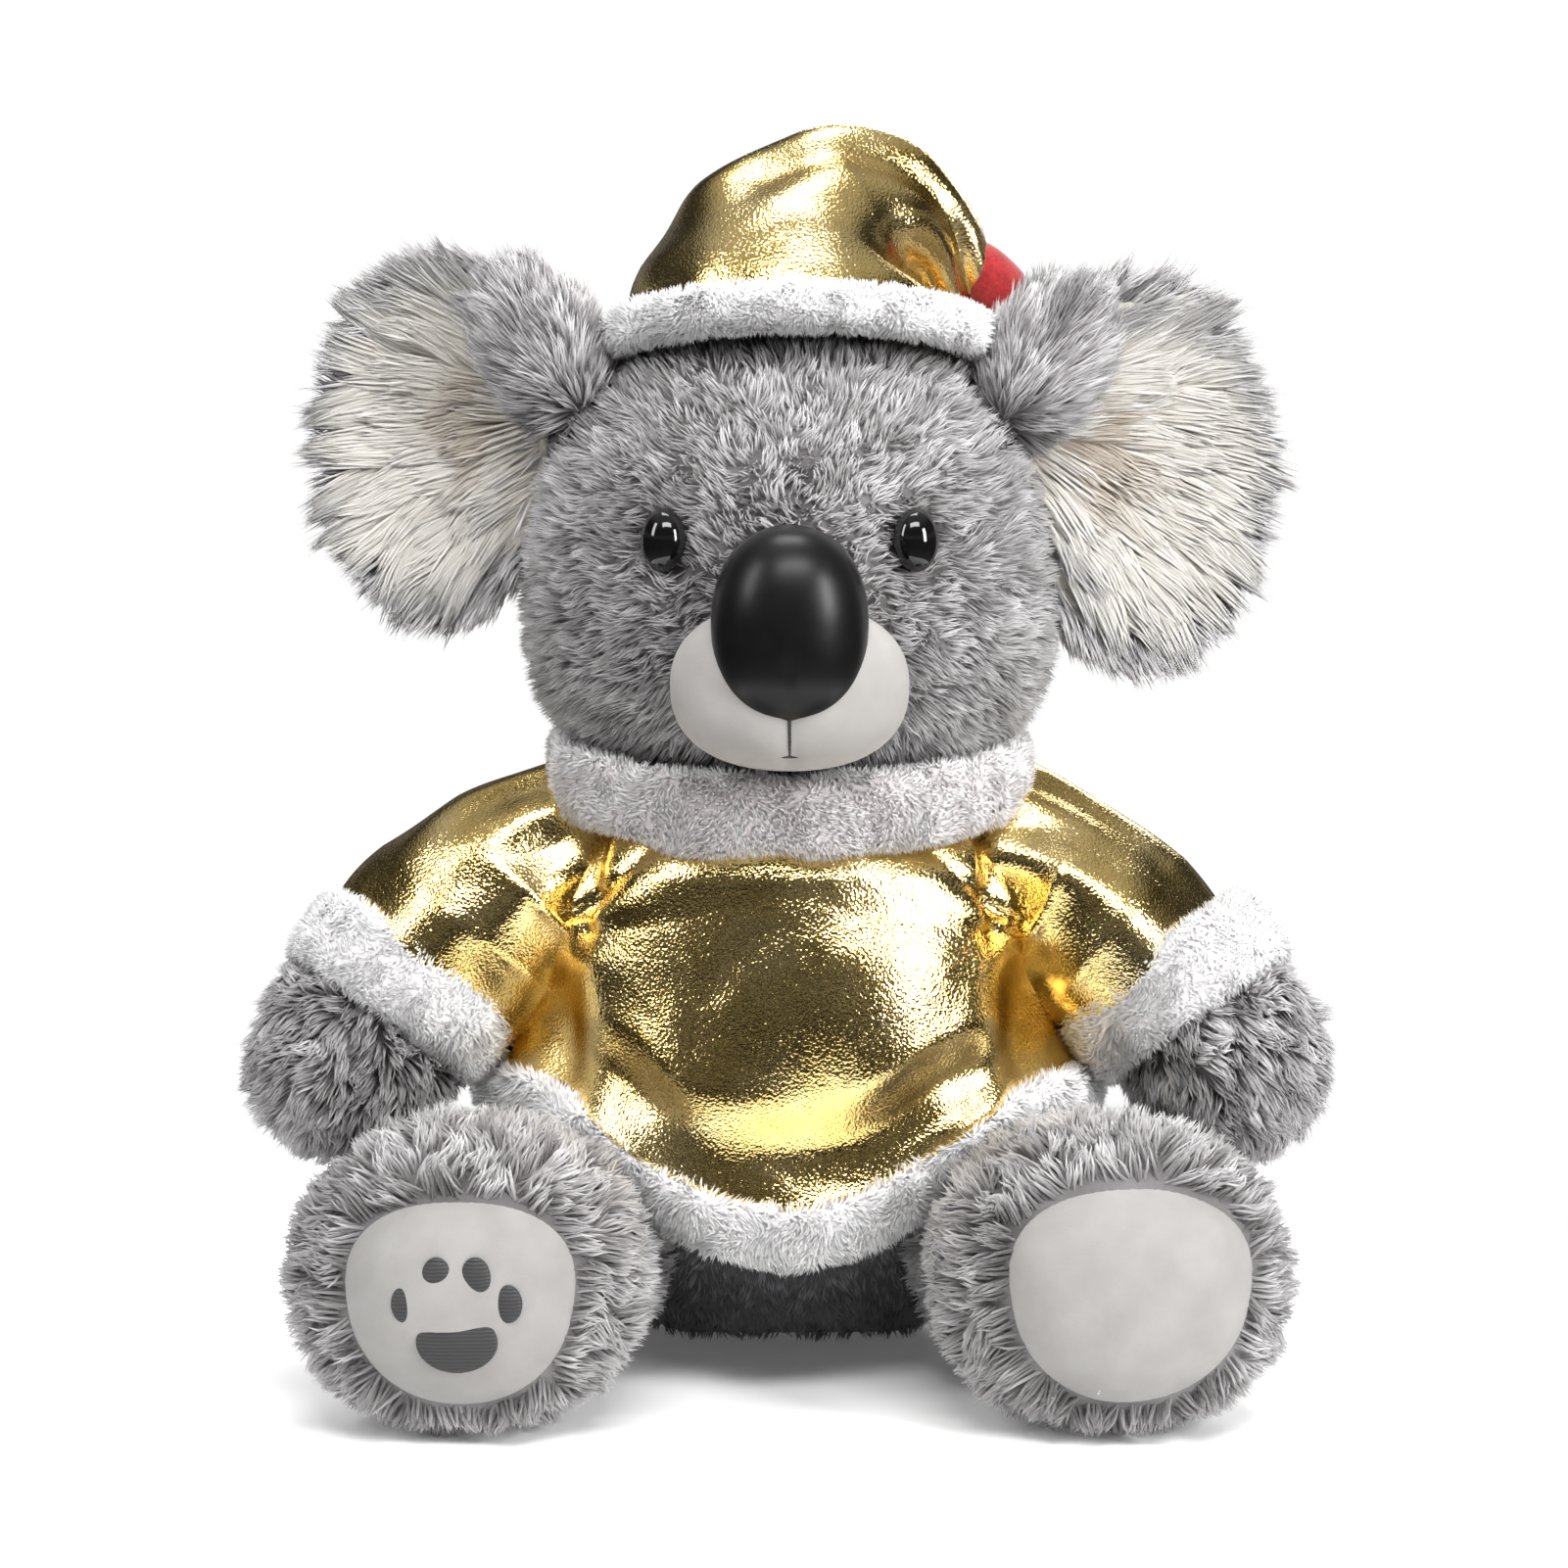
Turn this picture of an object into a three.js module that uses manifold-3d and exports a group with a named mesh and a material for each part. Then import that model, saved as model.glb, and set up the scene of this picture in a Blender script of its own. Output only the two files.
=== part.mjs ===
// A seated plush koala in a foil jumper and a pointed hat, as separate sewn and moulded pieces.
// Millimetres and degrees, +Z up, the face towards -Y. Left and right are as seen from the front.
import * as THREE from "three";
import { mergeVertices } from "three/addons/utils/BufferGeometryUtils.js";
import Module from "manifold-3d";

const wasm = await Module();
wasm.setup();

// Values shared by every piece
const seamGap = 0.3; // between two pieces that touch
const plushWall = 2.2; // plush fabric with its backing
const clothWall = 1.8; // foil jersey with its lining
const floorCut = 0.5; // how far a stuffed base is pressed flat
const overrun = 8; // how far a cutter runs past what it cuts
const sameSpot = 1e-4; // points this close are one point
const roundTo = 0.01; // for places that are compared with each other

// Stuffed torso, from the seat to the neck; rows are shares of its half width and of its height
const torso = { halfWidth: 54, halfDepth: 45, height: 133.7, centreY: 8 };
const torsoProfileShares = [
  [0, 0], [0.46, 0], [0.7, 0.05], [0.88, 0.14], [1, 0.32], [1, 0.55],
  [0.98, 0.72], [0.93, 0.86], [0.82, 0.95], [0.68, 1], [0, 1],
];
const pelletBag = { halfWidth: 32, halfDepth: 26, height: 24 };

// Stuffed head: a full ball, flat where it meets the neck
const head = {
  halfWidth: 60.5, halfDepth: 50, rise: 66, fall: 46, middle: 44.3, centreY: 0, turnAngle: 20,
};
const roundShares = { upper: 1, lower: 1 };
const headFullnessShares = { upper: 1.05, lower: 1.55 }; // of a round ball's fullness
const neckOpening = { radius: 20 };

// Moulded eyes on stems, each held by a washer behind the fabric
const eye = {
  halfWidth: 5, halfHeight: 6.5, dome: 3.6, stemRadius: 1.6, stemLength: 9, across: 27, up: 11,
};
const washer = { rim: 3, thickness: 1.6, backOff: 2.6 };

// Moulded nose on a stem, with the pale muzzle behind it
const nose = { halfWidth: 16.5, halfDepth: 14, halfHeight: 20.8, up: -6.7, proud: 7, stemRadius: 2.6 };
const noseStemLength = 26;
const muzzle = { halfWidth: 25.5, halfDepth: 16, halfHeight: 18, up: -20 };

// Ears: shallow dishes, each with a grey back and a pale front, sewn to the side of the head
const ear = {
  halfWidth: 36, halfHeight: 43, backDepth: 8, frontDepth: 3, cup: 5, beyondHead: 16.5, centreY: 3,
};
const earUp = { left: 35, right: 27 };
const earLeanAngle = { left: -4, right: 8 };
const earFoldAngle = { forward: 12, back: 15 };
const earProfileShares = [0, 0.35, 0.62, 0.82, 0.94, 1];
const earFrontShare = 0.84;
const earHingeShare = 0.74;

// Sewn arms: a curve from the shoulder disc to the paw; the disc is let in below the neck
const shoulder = { discX: 47, radius: 22.6, centreY: 6, drop: 19.7, clearX: 58.5 };
const arm = { rootRadius: 19.3, wristRadius: 20, innerStartX: 36 };
const wrist = { x: 88, y: -3, drop: 28 }; // down from the shoulder, as is the paw
const armBendShares = { forward: 0.3, down: 0.14 };
const paw = { x: 101, y: -9, drop: 46, halfWidth: 21, halfDepth: 21, halfHeight: 20.5 };

// Sewn legs: a thigh and a round foot with a pale sole
const hip = { across: 42, centreY: -17, z: 28, splayAngle: 10 };
const thigh = { innerX: 33, innerY: -2, rootRadius: 22, footRadius: 26 };
const foot = { across: 68.6, y: -60, halfWidth: 38, halfDepth: 27, halfHeight: 34 };
const sole = { halfWidth: 25.5, halfHeight: 23.6, thickness: 2 };

// Jumper: eased off the torso and flared over the thighs, with plush bands
const jumper = { topInset: 3, ease: 2.6, flare: 13, backFlare: 7 };
const jumperLevelShares = [0, 0.16, 0.36, 0.6, 0.82, 1];
const jumperFlareShares = [0, 0.08, 0.18, 0.35, 0.65, 1];
const hemHeights = { front: 44, side: 68, back: 30 };
const hemAngle = { sideStart: 62, sideEnd: 100, behind: 180 }; // round from the front
const hem = { height: 14, thickness: 8 };
const collar = { halfWidth: 52, halfDepth: 42, height: 21, thickness: 11, rise: 2.8, centreY: 1 };
const collarTiltAngle = 10;
const sleeve = { radius: 23, endRadius: 23.6, bulge: 2.6 };
const cuff = { length: 15, thickness: 3.6 };
const sleeveEndShare = 0.71;
const cuffBackShare = 0.6;
const cuffEdgeShare = 0.55;

// Hat: a plush band and a foil crown folded to the right, with a felt tail and a pompom.
// The middle of the band is a little below the top of the head.
const hatDrop = 13;
const hatTiltAngle = 12;
const brim = { halfWidth: 45.5, halfDepth: 42.5, height: 15, thickness: 7 };
const crown = { height: 48.5, base: 39.5, depth: 36.5, crease: 4, creaseCount: 3 };
// Rows: height, lean to the right, width and depth of the creases, as shares of the crown's own sizes
const crownShares = [
  [0, 0, 0.98, 0], [0.3, 0.05, 1, 0.5], [0.62, 0.23, 0.9, 1],
  [0.8, 0.26, 0.72, 0.9], [0.93, 0.27, 0.5, 0.5], [1, 0.26, 0.24, 0],
];
const tail = { rootRadius: 6.5, endRadius: 4, out: 12, back: 20, drop: 22 };
const tailStart = { x: 36, y: 16, up: 26 };
const pompom = { radius: 10, drop: 8 };

// Facets of the round shapes: outer surfaces are finer than the hollows and fillings inside them
const outerFacets = { around: 16, levels: 10, steps: 5 };
const innerFacets = { around: 8, levels: 6, steps: 3 };
const headExtraFacets = { around: 4, levels: 2 };
const barSides = 12;
const pocketSides = 18;
const jumperSides = 28;
const facetShare = Math.cos(Math.PI / pocketSides); // flat middle of a facet, as a share of the radius
const bandSides = 6;
const turnSteps = { coarse: 2, fine: 3 };
const facets = (grow) => (grow <= -plushWall ? innerFacets : outerFacets);

const finishes = {
  grey: { color: 0x8d8a8c, roughness: 0.95, metalness: 0 },
  white: { color: 0xe9e6e6, roughness: 0.95, metalness: 0 },
  gold: { color: 0xd0a133, roughness: 0.25, metalness: 1 },
  red: { color: 0xb5121b, roughness: 0.9, metalness: 0 },
  black: { color: 0x0c0c0d, roughness: 0.3, metalness: 0 },
  clear: { color: 0xd8d8d4, roughness: 0.5, metalness: 0 },
  fibre: { color: 0xf4f4f2, roughness: 1, metalness: 0 },
  pellets: { color: 0xcfc9b8, roughness: 0.9, metalness: 0 },
};

const vec = (x, y, z) => new THREE.Vector3(x, y, z);
const radians = THREE.MathUtils.degToRad;
const lerp = THREE.MathUtils.lerp;
const xAxis = vec(1, 0, 0);
const zAxis = vec(0, 0, 1);

// Closed surface over rings of points. An open chain gets flat ends; a loop joins back to its first ring.
function skin(rings, loop = false) {
  const around = rings[0].length;
  const points = rings.flat();
  const faces = [];
  const spans = loop ? rings.length : rings.length - 1;
  for (let k = 0; k < spans; k += 1) {
    const here = k * around;
    const next = ((k + 1) % rings.length) * around;
    for (let j = 0; j < around; j += 1) {
      const after = (j + 1) % around;
      faces.push(here + j, here + after, next + after, here + j, next + after, next + j);
    }
  }
  if (!loop) {
    const middle = (ring) => ring.reduce((sum, p) => sum.add(p), vec(0, 0, 0)).divideScalar(around);
    const last = points.length - around;
    const bottom = points.push(middle(rings[0])) - 1;
    const top = points.push(middle(rings[rings.length - 1])) - 1;
    for (let j = 0; j < around; j += 1) {
      const after = (j + 1) % around;
      faces.push(bottom, after, j, top, last + j, last + after);
    }
  }
  const geometry = new THREE.BufferGeometry().setFromPoints(points);
  geometry.setIndex(faces);
  return geometry;
}

// An oval ring of points square to a direction, counterclockwise about it
function ovalRing(centre, direction, reference, along, across, count) {
  const axis = direction.clone().normalize();
  const first = reference.clone().addScaledVector(axis, -reference.dot(axis)).normalize();
  const second = axis.clone().cross(first);
  return Array.from({ length: count }, (_, j) => {
    const turn = (2 * Math.PI * j) / count;
    return centre.clone()
      .addScaledVector(first, along * Math.cos(turn))
      .addScaledVector(second, across * Math.sin(turn));
  });
}

// A round tube along a curve, with a radius for each share of its length
function taperedTube(curve, radiusAt, steps, around) {
  return skin(Array.from({ length: steps + 1 }, (_, k) => {
    const share = k / steps;
    const radius = radiusAt(share);
    return ovalRing(
      curve.getPointAt(share), curve.getTangentAt(share), vec(0, 1, 0), radius, radius, around,
    );
  }));
}

// A ball with its own fullness above and below its middle; share is the height from -1 to 1
function ballWidthShare(share, fullnessShares) {
  const power = 2 * (share > 0 ? fullnessShares.upper : fullnessShares.lower);
  return Math.max(0, 1 - Math.abs(share) ** power) ** (1 / power);
}

function ball(centre, half, { around, levels } = outerFacets, fullnessShares = roundShares) {
  const geometry = new THREE.SphereGeometry(1, around, levels).rotateX(Math.PI / 2);
  const place = geometry.attributes.position;
  for (let i = 0; i < place.count; i += 1) {
    const share = THREE.MathUtils.clamp(place.getZ(i), -1, 1);
    const flat = Math.hypot(place.getX(i), place.getY(i));
    const swell = flat > sameSpot ? ballWidthShare(share, fullnessShares) / flat : 0;
    place.setXYZ(
      i,
      centre.x + place.getX(i) * swell * half.x,
      centre.y + place.getY(i) * swell * half.y,
      centre.z + share * (share > 0 ? half.z : half.under ?? half.z),
    );
  }
  return geometry;
}

// A solid turned about Z from rows of radius and height that start and end on the axis, then made oval
function turned(rows, widthScale = 1, depthScale = 1, count = outerFacets.around) {
  const points = rows.map(([r, h]) => new THREE.Vector2(r, h));
  return new THREE.LatheGeometry(points, count).rotateX(Math.PI / 2).scale(widthScale, depthScale, 1);
}

// Turns a geometry's +Z towards a direction and sets it at a place
function placeAlong(geometry, place, direction) {
  const turn = new THREE.Quaternion().setFromUnitVectors(zAxis, direction.clone().normalize());
  return geometry.applyQuaternion(turn).translate(place.x, place.y, place.z);
}

// A round bar between two points
function bar(from, to, radius, count = barSides) {
  const axis = to.clone().sub(from);
  const geometry = new THREE.CylinderGeometry(radius, radius, axis.length(), count).rotateX(Math.PI / 2);
  return placeAlong(geometry, from.clone().lerp(to, 0.5), axis);
}

// A box between two corners
function block(low, high) {
  const size = high.clone().sub(low);
  const middle = low.clone().lerp(high, 0.5);
  return new THREE.BoxGeometry(size.x, size.y, size.z).translate(middle.x, middle.y, middle.z);
}

// Geometry to a solid; a shape with normals still has seams whose points must be merged
function solid(geometry) {
  const bare = geometry.clone();
  for (const name of Object.keys(bare.attributes)) {
    if (name !== "position") bare.deleteAttribute(name);
  }
  const merged = geometry.hasAttribute("normal") ? mergeVertices(bare, sameSpot) : bare;
  return new wasm.Manifold(new wasm.Mesh({
    numProp: 3,
    vertProperties: new Float32Array(merged.attributes.position.array),
    triVerts: new Uint32Array(merged.index.array),
  }));
}

function geometryOf(body) {
  const mesh = body.getMesh();
  const geometry = new THREE.BufferGeometry();
  geometry.setAttribute("position", new THREE.BufferAttribute(mesh.vertProperties, 3));
  geometry.setIndex(new THREE.BufferAttribute(mesh.triVerts, 1));
  return geometry;
}

const cut = (body, ...tools) => tools.flat().reduce((left, tool) => left.subtract(tool), body);
const join = (...bodies) => bodies.flat().reduce((whole, piece) => whole.add(piece));
const mainPiece = (body) => body.decompose().sort((a, b) => b.volume() - a.volume())[0];

// Copies of a solid turned about a hinge, at steps between two angles
function turnedCopies(body, pivot, axis, low, high, steps) {
  const geometry = geometryOf(body);
  return Array.from({ length: steps + 1 }, (_, i) => {
    const turn = new THREE.Quaternion().setFromAxisAngle(axis, radians(lerp(low, high, i / steps)));
    return solid(
      geometry.clone().translate(-pivot.x, -pivot.y, -pivot.z).applyQuaternion(turn)
        .translate(pivot.x, pivot.y, pivot.z),
    );
  });
}

// Everything that a body can reach while it turns about the X axis through a pivot, past a plane.
// The reach is the outer chain of the farthest points, which no straight edge between them can pass.
function reachAboutX(bodies, pivot, side, fromX) {
  const farthest = new Map();
  for (const body of bodies) {
    const place = geometryOf(body).attributes.position;
    for (let i = 0; i < place.count; i += 1) {
      const x = Math.max(fromX, Math.round(Math.abs(place.getX(i)) / roundTo) * roundTo);
      const reach = Math.hypot(place.getY(i) - pivot.y, place.getZ(i) - pivot.z);
      farthest.set(x, Math.max(reach, farthest.get(x) ?? 0));
    }
  }
  const hull = [];
  for (const point of [...farthest].sort((a, b) => a[0] - b[0])) {
    while (hull.length > 1) {
      const [ax, ar] = hull[hull.length - 2];
      const [bx, br] = hull[hull.length - 1];
      if ((bx - ax) * (point[1] - ar) - (br - ar) * (point[0] - ax) < 0) break;
      hull.pop();
    }
    hull.push(point);
  }
  const last = hull[hull.length - 1][0] + overrun;
  const rows = [[0, fromX], ...hull.map(([x, r]) => [(r + seamGap) / facetShare, x]), [0, last]];
  const shape = turned(rows, 1, 1, pocketSides);
  return solid(placeAlong(shape, vec(0, pivot.y, pivot.z), vec(side, 0, 0)));
}

const farOut = 3 * torso.height;
const underFloor = solid(block(vec(-farOut, -farOut, -farOut), vec(farOut, farOut, 0)));

// Torso: skin, filling and the bag of pellets in the seat
function torsoShape(grow) {
  const rows = torsoProfileShares.map(([r, h]) => [
    r * (torso.halfWidth + grow),
    lerp(-grow, torso.height + grow, h),
  ]);
  const depthScale = (torso.halfDepth + grow) / (torso.halfWidth + grow);
  return solid(turned(rows, 1, depthScale, 2 * facets(grow).around).translate(0, torso.centreY, 0));
}

function torsoRadiusShare(z) {
  const rows = torsoProfileShares.slice(1, -1);
  const h = THREE.MathUtils.clamp(z / torso.height, 0, 1);
  const i = Math.max(1, rows.findIndex(([, top]) => top >= h));
  const [[r0, h0], [r1, h1]] = [rows[i - 1], rows[i]];
  return lerp(r0, r1, (h - h0) / (h1 - h0));
}

const shoulderZ = torso.height - shoulder.drop;
const shoulderPivot = (side) => vec(side * shoulder.discX, shoulder.centreY, shoulderZ);

// The round pocket that an arm's root sits in, deeper and wider by a margin
function shoulderPocket(side, margin) {
  const inner = shoulderPivot(side).setX(side * (shoulder.discX - margin));
  const outer = inner.clone().setX(side * (shoulder.clearX + overrun + torso.halfWidth));
  return solid(bar(inner, outer, shoulder.radius + margin, pocketSides));
}
const pockets = (margin) => [shoulderPocket(-1, margin), shoulderPocket(1, margin)];

const neckTop = vec(0, head.centreY, torso.height);
const neckHole = solid(bar(
  neckTop.clone().setZ(torso.height - plushWall - overrun),
  neckTop.clone().setZ(torso.height + plushWall + overrun),
  neckOpening.radius,
));
const torsoSkin = cut(torsoShape(0), cut(torsoShape(-plushWall), pockets(plushWall)), pockets(0), neckHole);

const bagHalf = vec(pelletBag.halfWidth, pelletBag.halfDepth, pelletBag.height);
const bagFloor = plushWall + seamGap;
const underBag = solid(block(vec(-farOut, -farOut, -farOut), vec(farOut, farOut, bagFloor)));
function bagShape(grow) {
  const half = bagHalf.clone().addScalar(grow);
  return solid(ball(vec(0, torso.centreY, bagFloor), half, innerFacets));
}
const bag = cut(bagShape(0).intersect(torsoShape(-plushWall - seamGap)), underBag);
const torsoFill = mainPiece(cut(
  torsoShape(-plushWall - seamGap), pockets(plushWall + seamGap), bagShape(seamGap),
));

// Head: skin, filling, eyes, nose and muzzle
const headCentre = vec(0, head.centreY, torso.height + head.middle);
function headShape(grow) {
  const half = vec(head.halfWidth + grow, head.halfDepth + grow, head.rise + grow);
  half.under = head.fall + grow;
  const flat = torso.height + seamGap - grow;
  const under = solid(block(vec(-farOut, -farOut, -farOut), vec(farOut, farOut, flat)));
  const { around, levels } = facets(grow);
  const count = {
    around: around + headExtraFacets.around, levels: levels + headExtraFacets.levels,
  };
  return cut(solid(ball(headCentre, half, count, headFullnessShares)), under);
}

// The front of the head at a place across and up, and the direction that it faces there
function faceAt(across, up) {
  const depth = (x, z) => {
    const width = ballWidthShare(z / (z > 0 ? head.rise : head.fall), headFullnessShares);
    return head.centreY - head.halfDepth * Math.sqrt(Math.max(0, width ** 2 - (x / head.halfWidth) ** 2));
  };
  const y = depth(across, up);
  const step = seamGap;
  const slopeX = (depth(across + step, up) - depth(across - step, up)) / (2 * step);
  const slopeZ = (depth(across, up + step) - depth(across, up - step)) / (2 * step);
  return { place: vec(across, y, headCentre.z + up), facing: vec(slopeX, -1, slopeZ).normalize() };
}

const headSolid = headShape(0);
const headGrown = headShape(seamGap);

function makeEye(side) {
  const { place, facing } = faceAt(side * eye.across, eye.up);
  const dome = new THREE.SphereGeometry(1, innerFacets.around, innerFacets.levels)
    .scale(eye.halfWidth, eye.halfHeight, eye.dome).rotateX(Math.PI / 2);
  const turn = new THREE.Quaternion().setFromUnitVectors(vec(0, -1, 0), facing);
  dome.applyQuaternion(turn).translate(place.x, place.y, place.z);
  const inside = place.clone().addScaledVector(facing, -eye.stemLength);
  const front = place.clone().addScaledVector(facing, eye.dome / 2);
  const ringAt = place.clone().addScaledVector(facing, -plushWall - washer.backOff);
  return {
    piece: join(mainPiece(cut(solid(dome), headGrown)), solid(bar(front, inside, eye.stemRadius))),
    hole: solid(bar(front, inside, eye.stemRadius + seamGap)),
    ...makeWasher(ringAt, facing, eye.stemRadius),
  };
}

// A flat ring round a stem, facing outwards, and the pocket that it takes in the filling
function makeWasher(outer, facing, stemRadius) {
  const inner = outer.clone().addScaledVector(facing, -washer.thickness);
  const beyond = outer.clone().addScaledVector(facing, overrun);
  const behind = inner.clone().addScaledVector(facing, -overrun);
  const clearOfInner = inner.clone().addScaledVector(facing, -seamGap);
  return {
    ring: cut(
      solid(bar(outer, inner, stemRadius + washer.rim)),
      solid(bar(beyond, behind, stemRadius + seamGap)),
    ),
    pocket: solid(bar(beyond, clearOfInner, stemRadius + washer.rim + seamGap)),
  };
}

const eyes = { left: makeEye(-1), right: makeEye(1) };

const muzzleCentre = vec(0, faceAt(0, muzzle.up).place.y, headCentre.z + muzzle.up);
function muzzleShape(grow) {
  const half = vec(muzzle.halfWidth, muzzle.halfDepth, muzzle.halfHeight).addScalar(grow);
  return solid(ball(muzzleCentre, half));
}
const noseCentre = vec(0, faceAt(0, nose.up).place.y - nose.proud, headCentre.z + nose.up);
const noseHalf = vec(nose.halfWidth, nose.halfDepth, nose.halfHeight);
const noseStemEnd = noseCentre.clone().setY(noseCentre.y + noseStemLength);
const noseStem = (grow) => solid(bar(noseCentre, noseStemEnd, nose.stemRadius + grow));
const noseBody = join(
  mainPiece(cut(solid(ball(noseCentre, noseHalf)), headGrown)),
  noseStem(0),
);
const noseGrown = join(
  solid(ball(noseCentre, noseHalf.clone().addScalar(seamGap))),
  noseStem(seamGap),
);
const muzzleBody = mainPiece(cut(muzzleShape(0), headGrown, noseGrown));
const faceInside = vec(0, faceAt(0, nose.up).place.y + plushWall + washer.backOff, noseCentre.z);
const noseHold = makeWasher(faceInside, vec(0, -1, 0), nose.stemRadius);

const headSkin = cut(
  headSolid, headShape(-plushWall), neckHole, eyes.left.hole, eyes.right.hole, noseStem(seamGap),
);
const headFill = mainPiece(cut(
  headShape(-plushWall - seamGap),
  eyes.left.hole, eyes.right.hole, eyes.left.pocket, eyes.right.pocket, noseStem(seamGap), noseHold.pocket,
));

// Hat: everything is set out round its own tilted axis, from the middle of the band
const hatAxis = vec(0, Math.sin(radians(hatTiltAngle)), Math.cos(radians(hatTiltAngle)));
const hatCentre = headCentre.clone().addScaledVector(zAxis, head.rise - hatDrop);
const onHat = (geometry) => placeAlong(geometry, hatCentre, hatAxis);

function hatTube(inset, low, high) {
  const rows = [[0, low], [brim.halfWidth - inset, low], [brim.halfWidth - inset, high], [0, high]];
  return solid(onHat(turned(rows, 1, (brim.halfDepth - inset) / (brim.halfWidth - inset))));
}

function bandRing(halfWidth, halfDepth, height, thickness, centreOf, count = 2 * barSides) {
  return skin(Array.from({ length: count }, (_, i) => {
    const turn = (2 * Math.PI * i) / count;
    const out = vec(Math.cos(turn), Math.sin(turn), 0);
    const centre = centreOf ? centreOf(turn) : vec(halfWidth * out.x, halfDepth * out.y, 0);
    const forward = vec(-halfWidth * Math.sin(turn), halfDepth * Math.cos(turn), 0);
    return ovalRing(centre, forward, zAxis, height / 2, thickness / 2, bandSides);
  }), true);
}

const brimRing = solid(onHat(bandRing(
  brim.halfWidth - brim.thickness / 2, brim.halfDepth - brim.thickness / 2, brim.height, brim.thickness,
)));

function crownShape(grow, drop) {
  const rings = crownShares.map(([up, right, wide, crease], i) => {
    const z = i === 0 ? -drop : up * (crown.height + grow);
    const centre = vec(right * crown.base, 0, z);
    const count = outerFacets.around;
    const ring = ovalRing(
      centre, zAxis, xAxis, wide * crown.base + grow, wide * crown.depth + grow, count,
    );
    return ring.map((point, j) => {
      const wave = Math.max(0, Math.cos((2 * Math.PI * crown.creaseCount * j) / count));
      return point.addScaledVector(centre.clone().sub(point).normalize(), crown.crease * crease * wave);
    });
  });
  return solid(onHat(skin(rings)));
}
const crownOuter = crownShape(0, 0);
const crownInner = crownShape(-clothWall, overrun);
const hatHole = headShape(seamGap);
const crownBody = mainPiece(cut(crownOuter, crownInner, hatHole));
const brimBody = mainPiece(cut(brimRing, crownShape(seamGap, seamGap), hatHole));

const tailRoot = hatCentre.clone().add(vec(tailStart.x, tailStart.y, tailStart.up));
const tailCurve = new THREE.QuadraticBezierCurve3(
  tailRoot,
  tailRoot.clone().add(vec(tail.out, tail.back / 2, 0)),
  tailRoot.clone().add(vec(tail.out, tail.back, -tail.drop)),
);
const tailShape = (grow) => solid(taperedTube(
  tailCurve, (s) => lerp(tail.rootRadius, tail.endRadius, s) + grow, outerFacets.steps, barSides,
));
const tailBody = mainPiece(cut(tailShape(0), crownShape(seamGap, 0), crownShape(seamGap, overrun)));
const pompomCentre = tailCurve.getPointAt(1).add(vec(0, 0, -pompom.drop));
const pompomBody = mainPiece(cut(
  solid(ball(pompomCentre, vec(pompom.radius, pompom.radius, pompom.radius), innerFacets)),
  tailShape(seamGap),
  hatHole,
));

// Ears
function makeEar(side, up, lean) {
  const local = (rows) => turned(rows, ear.halfWidth, ear.halfHeight);
  const middle = (r) => ear.cup * r ** 2;
  const swell = (r) => Math.sqrt(1 - r ** 2);
  const back = [
    ...earProfileShares.map((r) => [r, middle(r) - ear.backDepth * swell(r)]),
    ...earProfileShares.slice(0, -1).reverse().map((r) => [r, middle(r)]),
  ];
  const front = earProfileShares.map((r) => [r * earFrontShare, middle(r * earFrontShare) + seamGap]);
  const face = earProfileShares.map((r) => [
    r * earFrontShare,
    middle(r * earFrontShare) + seamGap + ear.frontDepth * swell(r),
  ]);
  const centre = vec(side * (head.halfWidth + ear.beyondHead), ear.centreY, headCentre.z + up);
  const axis = vec(Math.sin(radians(side * lean)), 0, Math.cos(radians(lean)));
  const place = (rows) => solid(
    local(rows).rotateX(Math.PI / 2).rotateY(radians(side * lean)).translate(centre.x, centre.y, centre.z),
  );
  const pivot = centre.clone().setX(centre.x - side * ear.halfWidth * earHingeShare);
  const low = side > 0 ? -earFoldAngle.forward : -earFoldAngle.back;
  const high = side > 0 ? earFoldAngle.back : earFoldAngle.forward;
  const keepOff = join(headGrown, hatTube(-seamGap, -brim.height, farOut));
  const meets = turnedCopies(keepOff, pivot, axis, low, high, turnSteps.fine);
  return {
    back: mainPiece(cut(place(back), meets)),
    front: mainPiece(cut(place([...front, ...face.slice(0, -1).reverse()]), meets)),
    pivot,
    axis,
  };
}
const ears = {
  left: makeEar(-1, earUp.left, earLeanAngle.left),
  right: makeEar(1, earUp.right, earLeanAngle.right),
};

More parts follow.
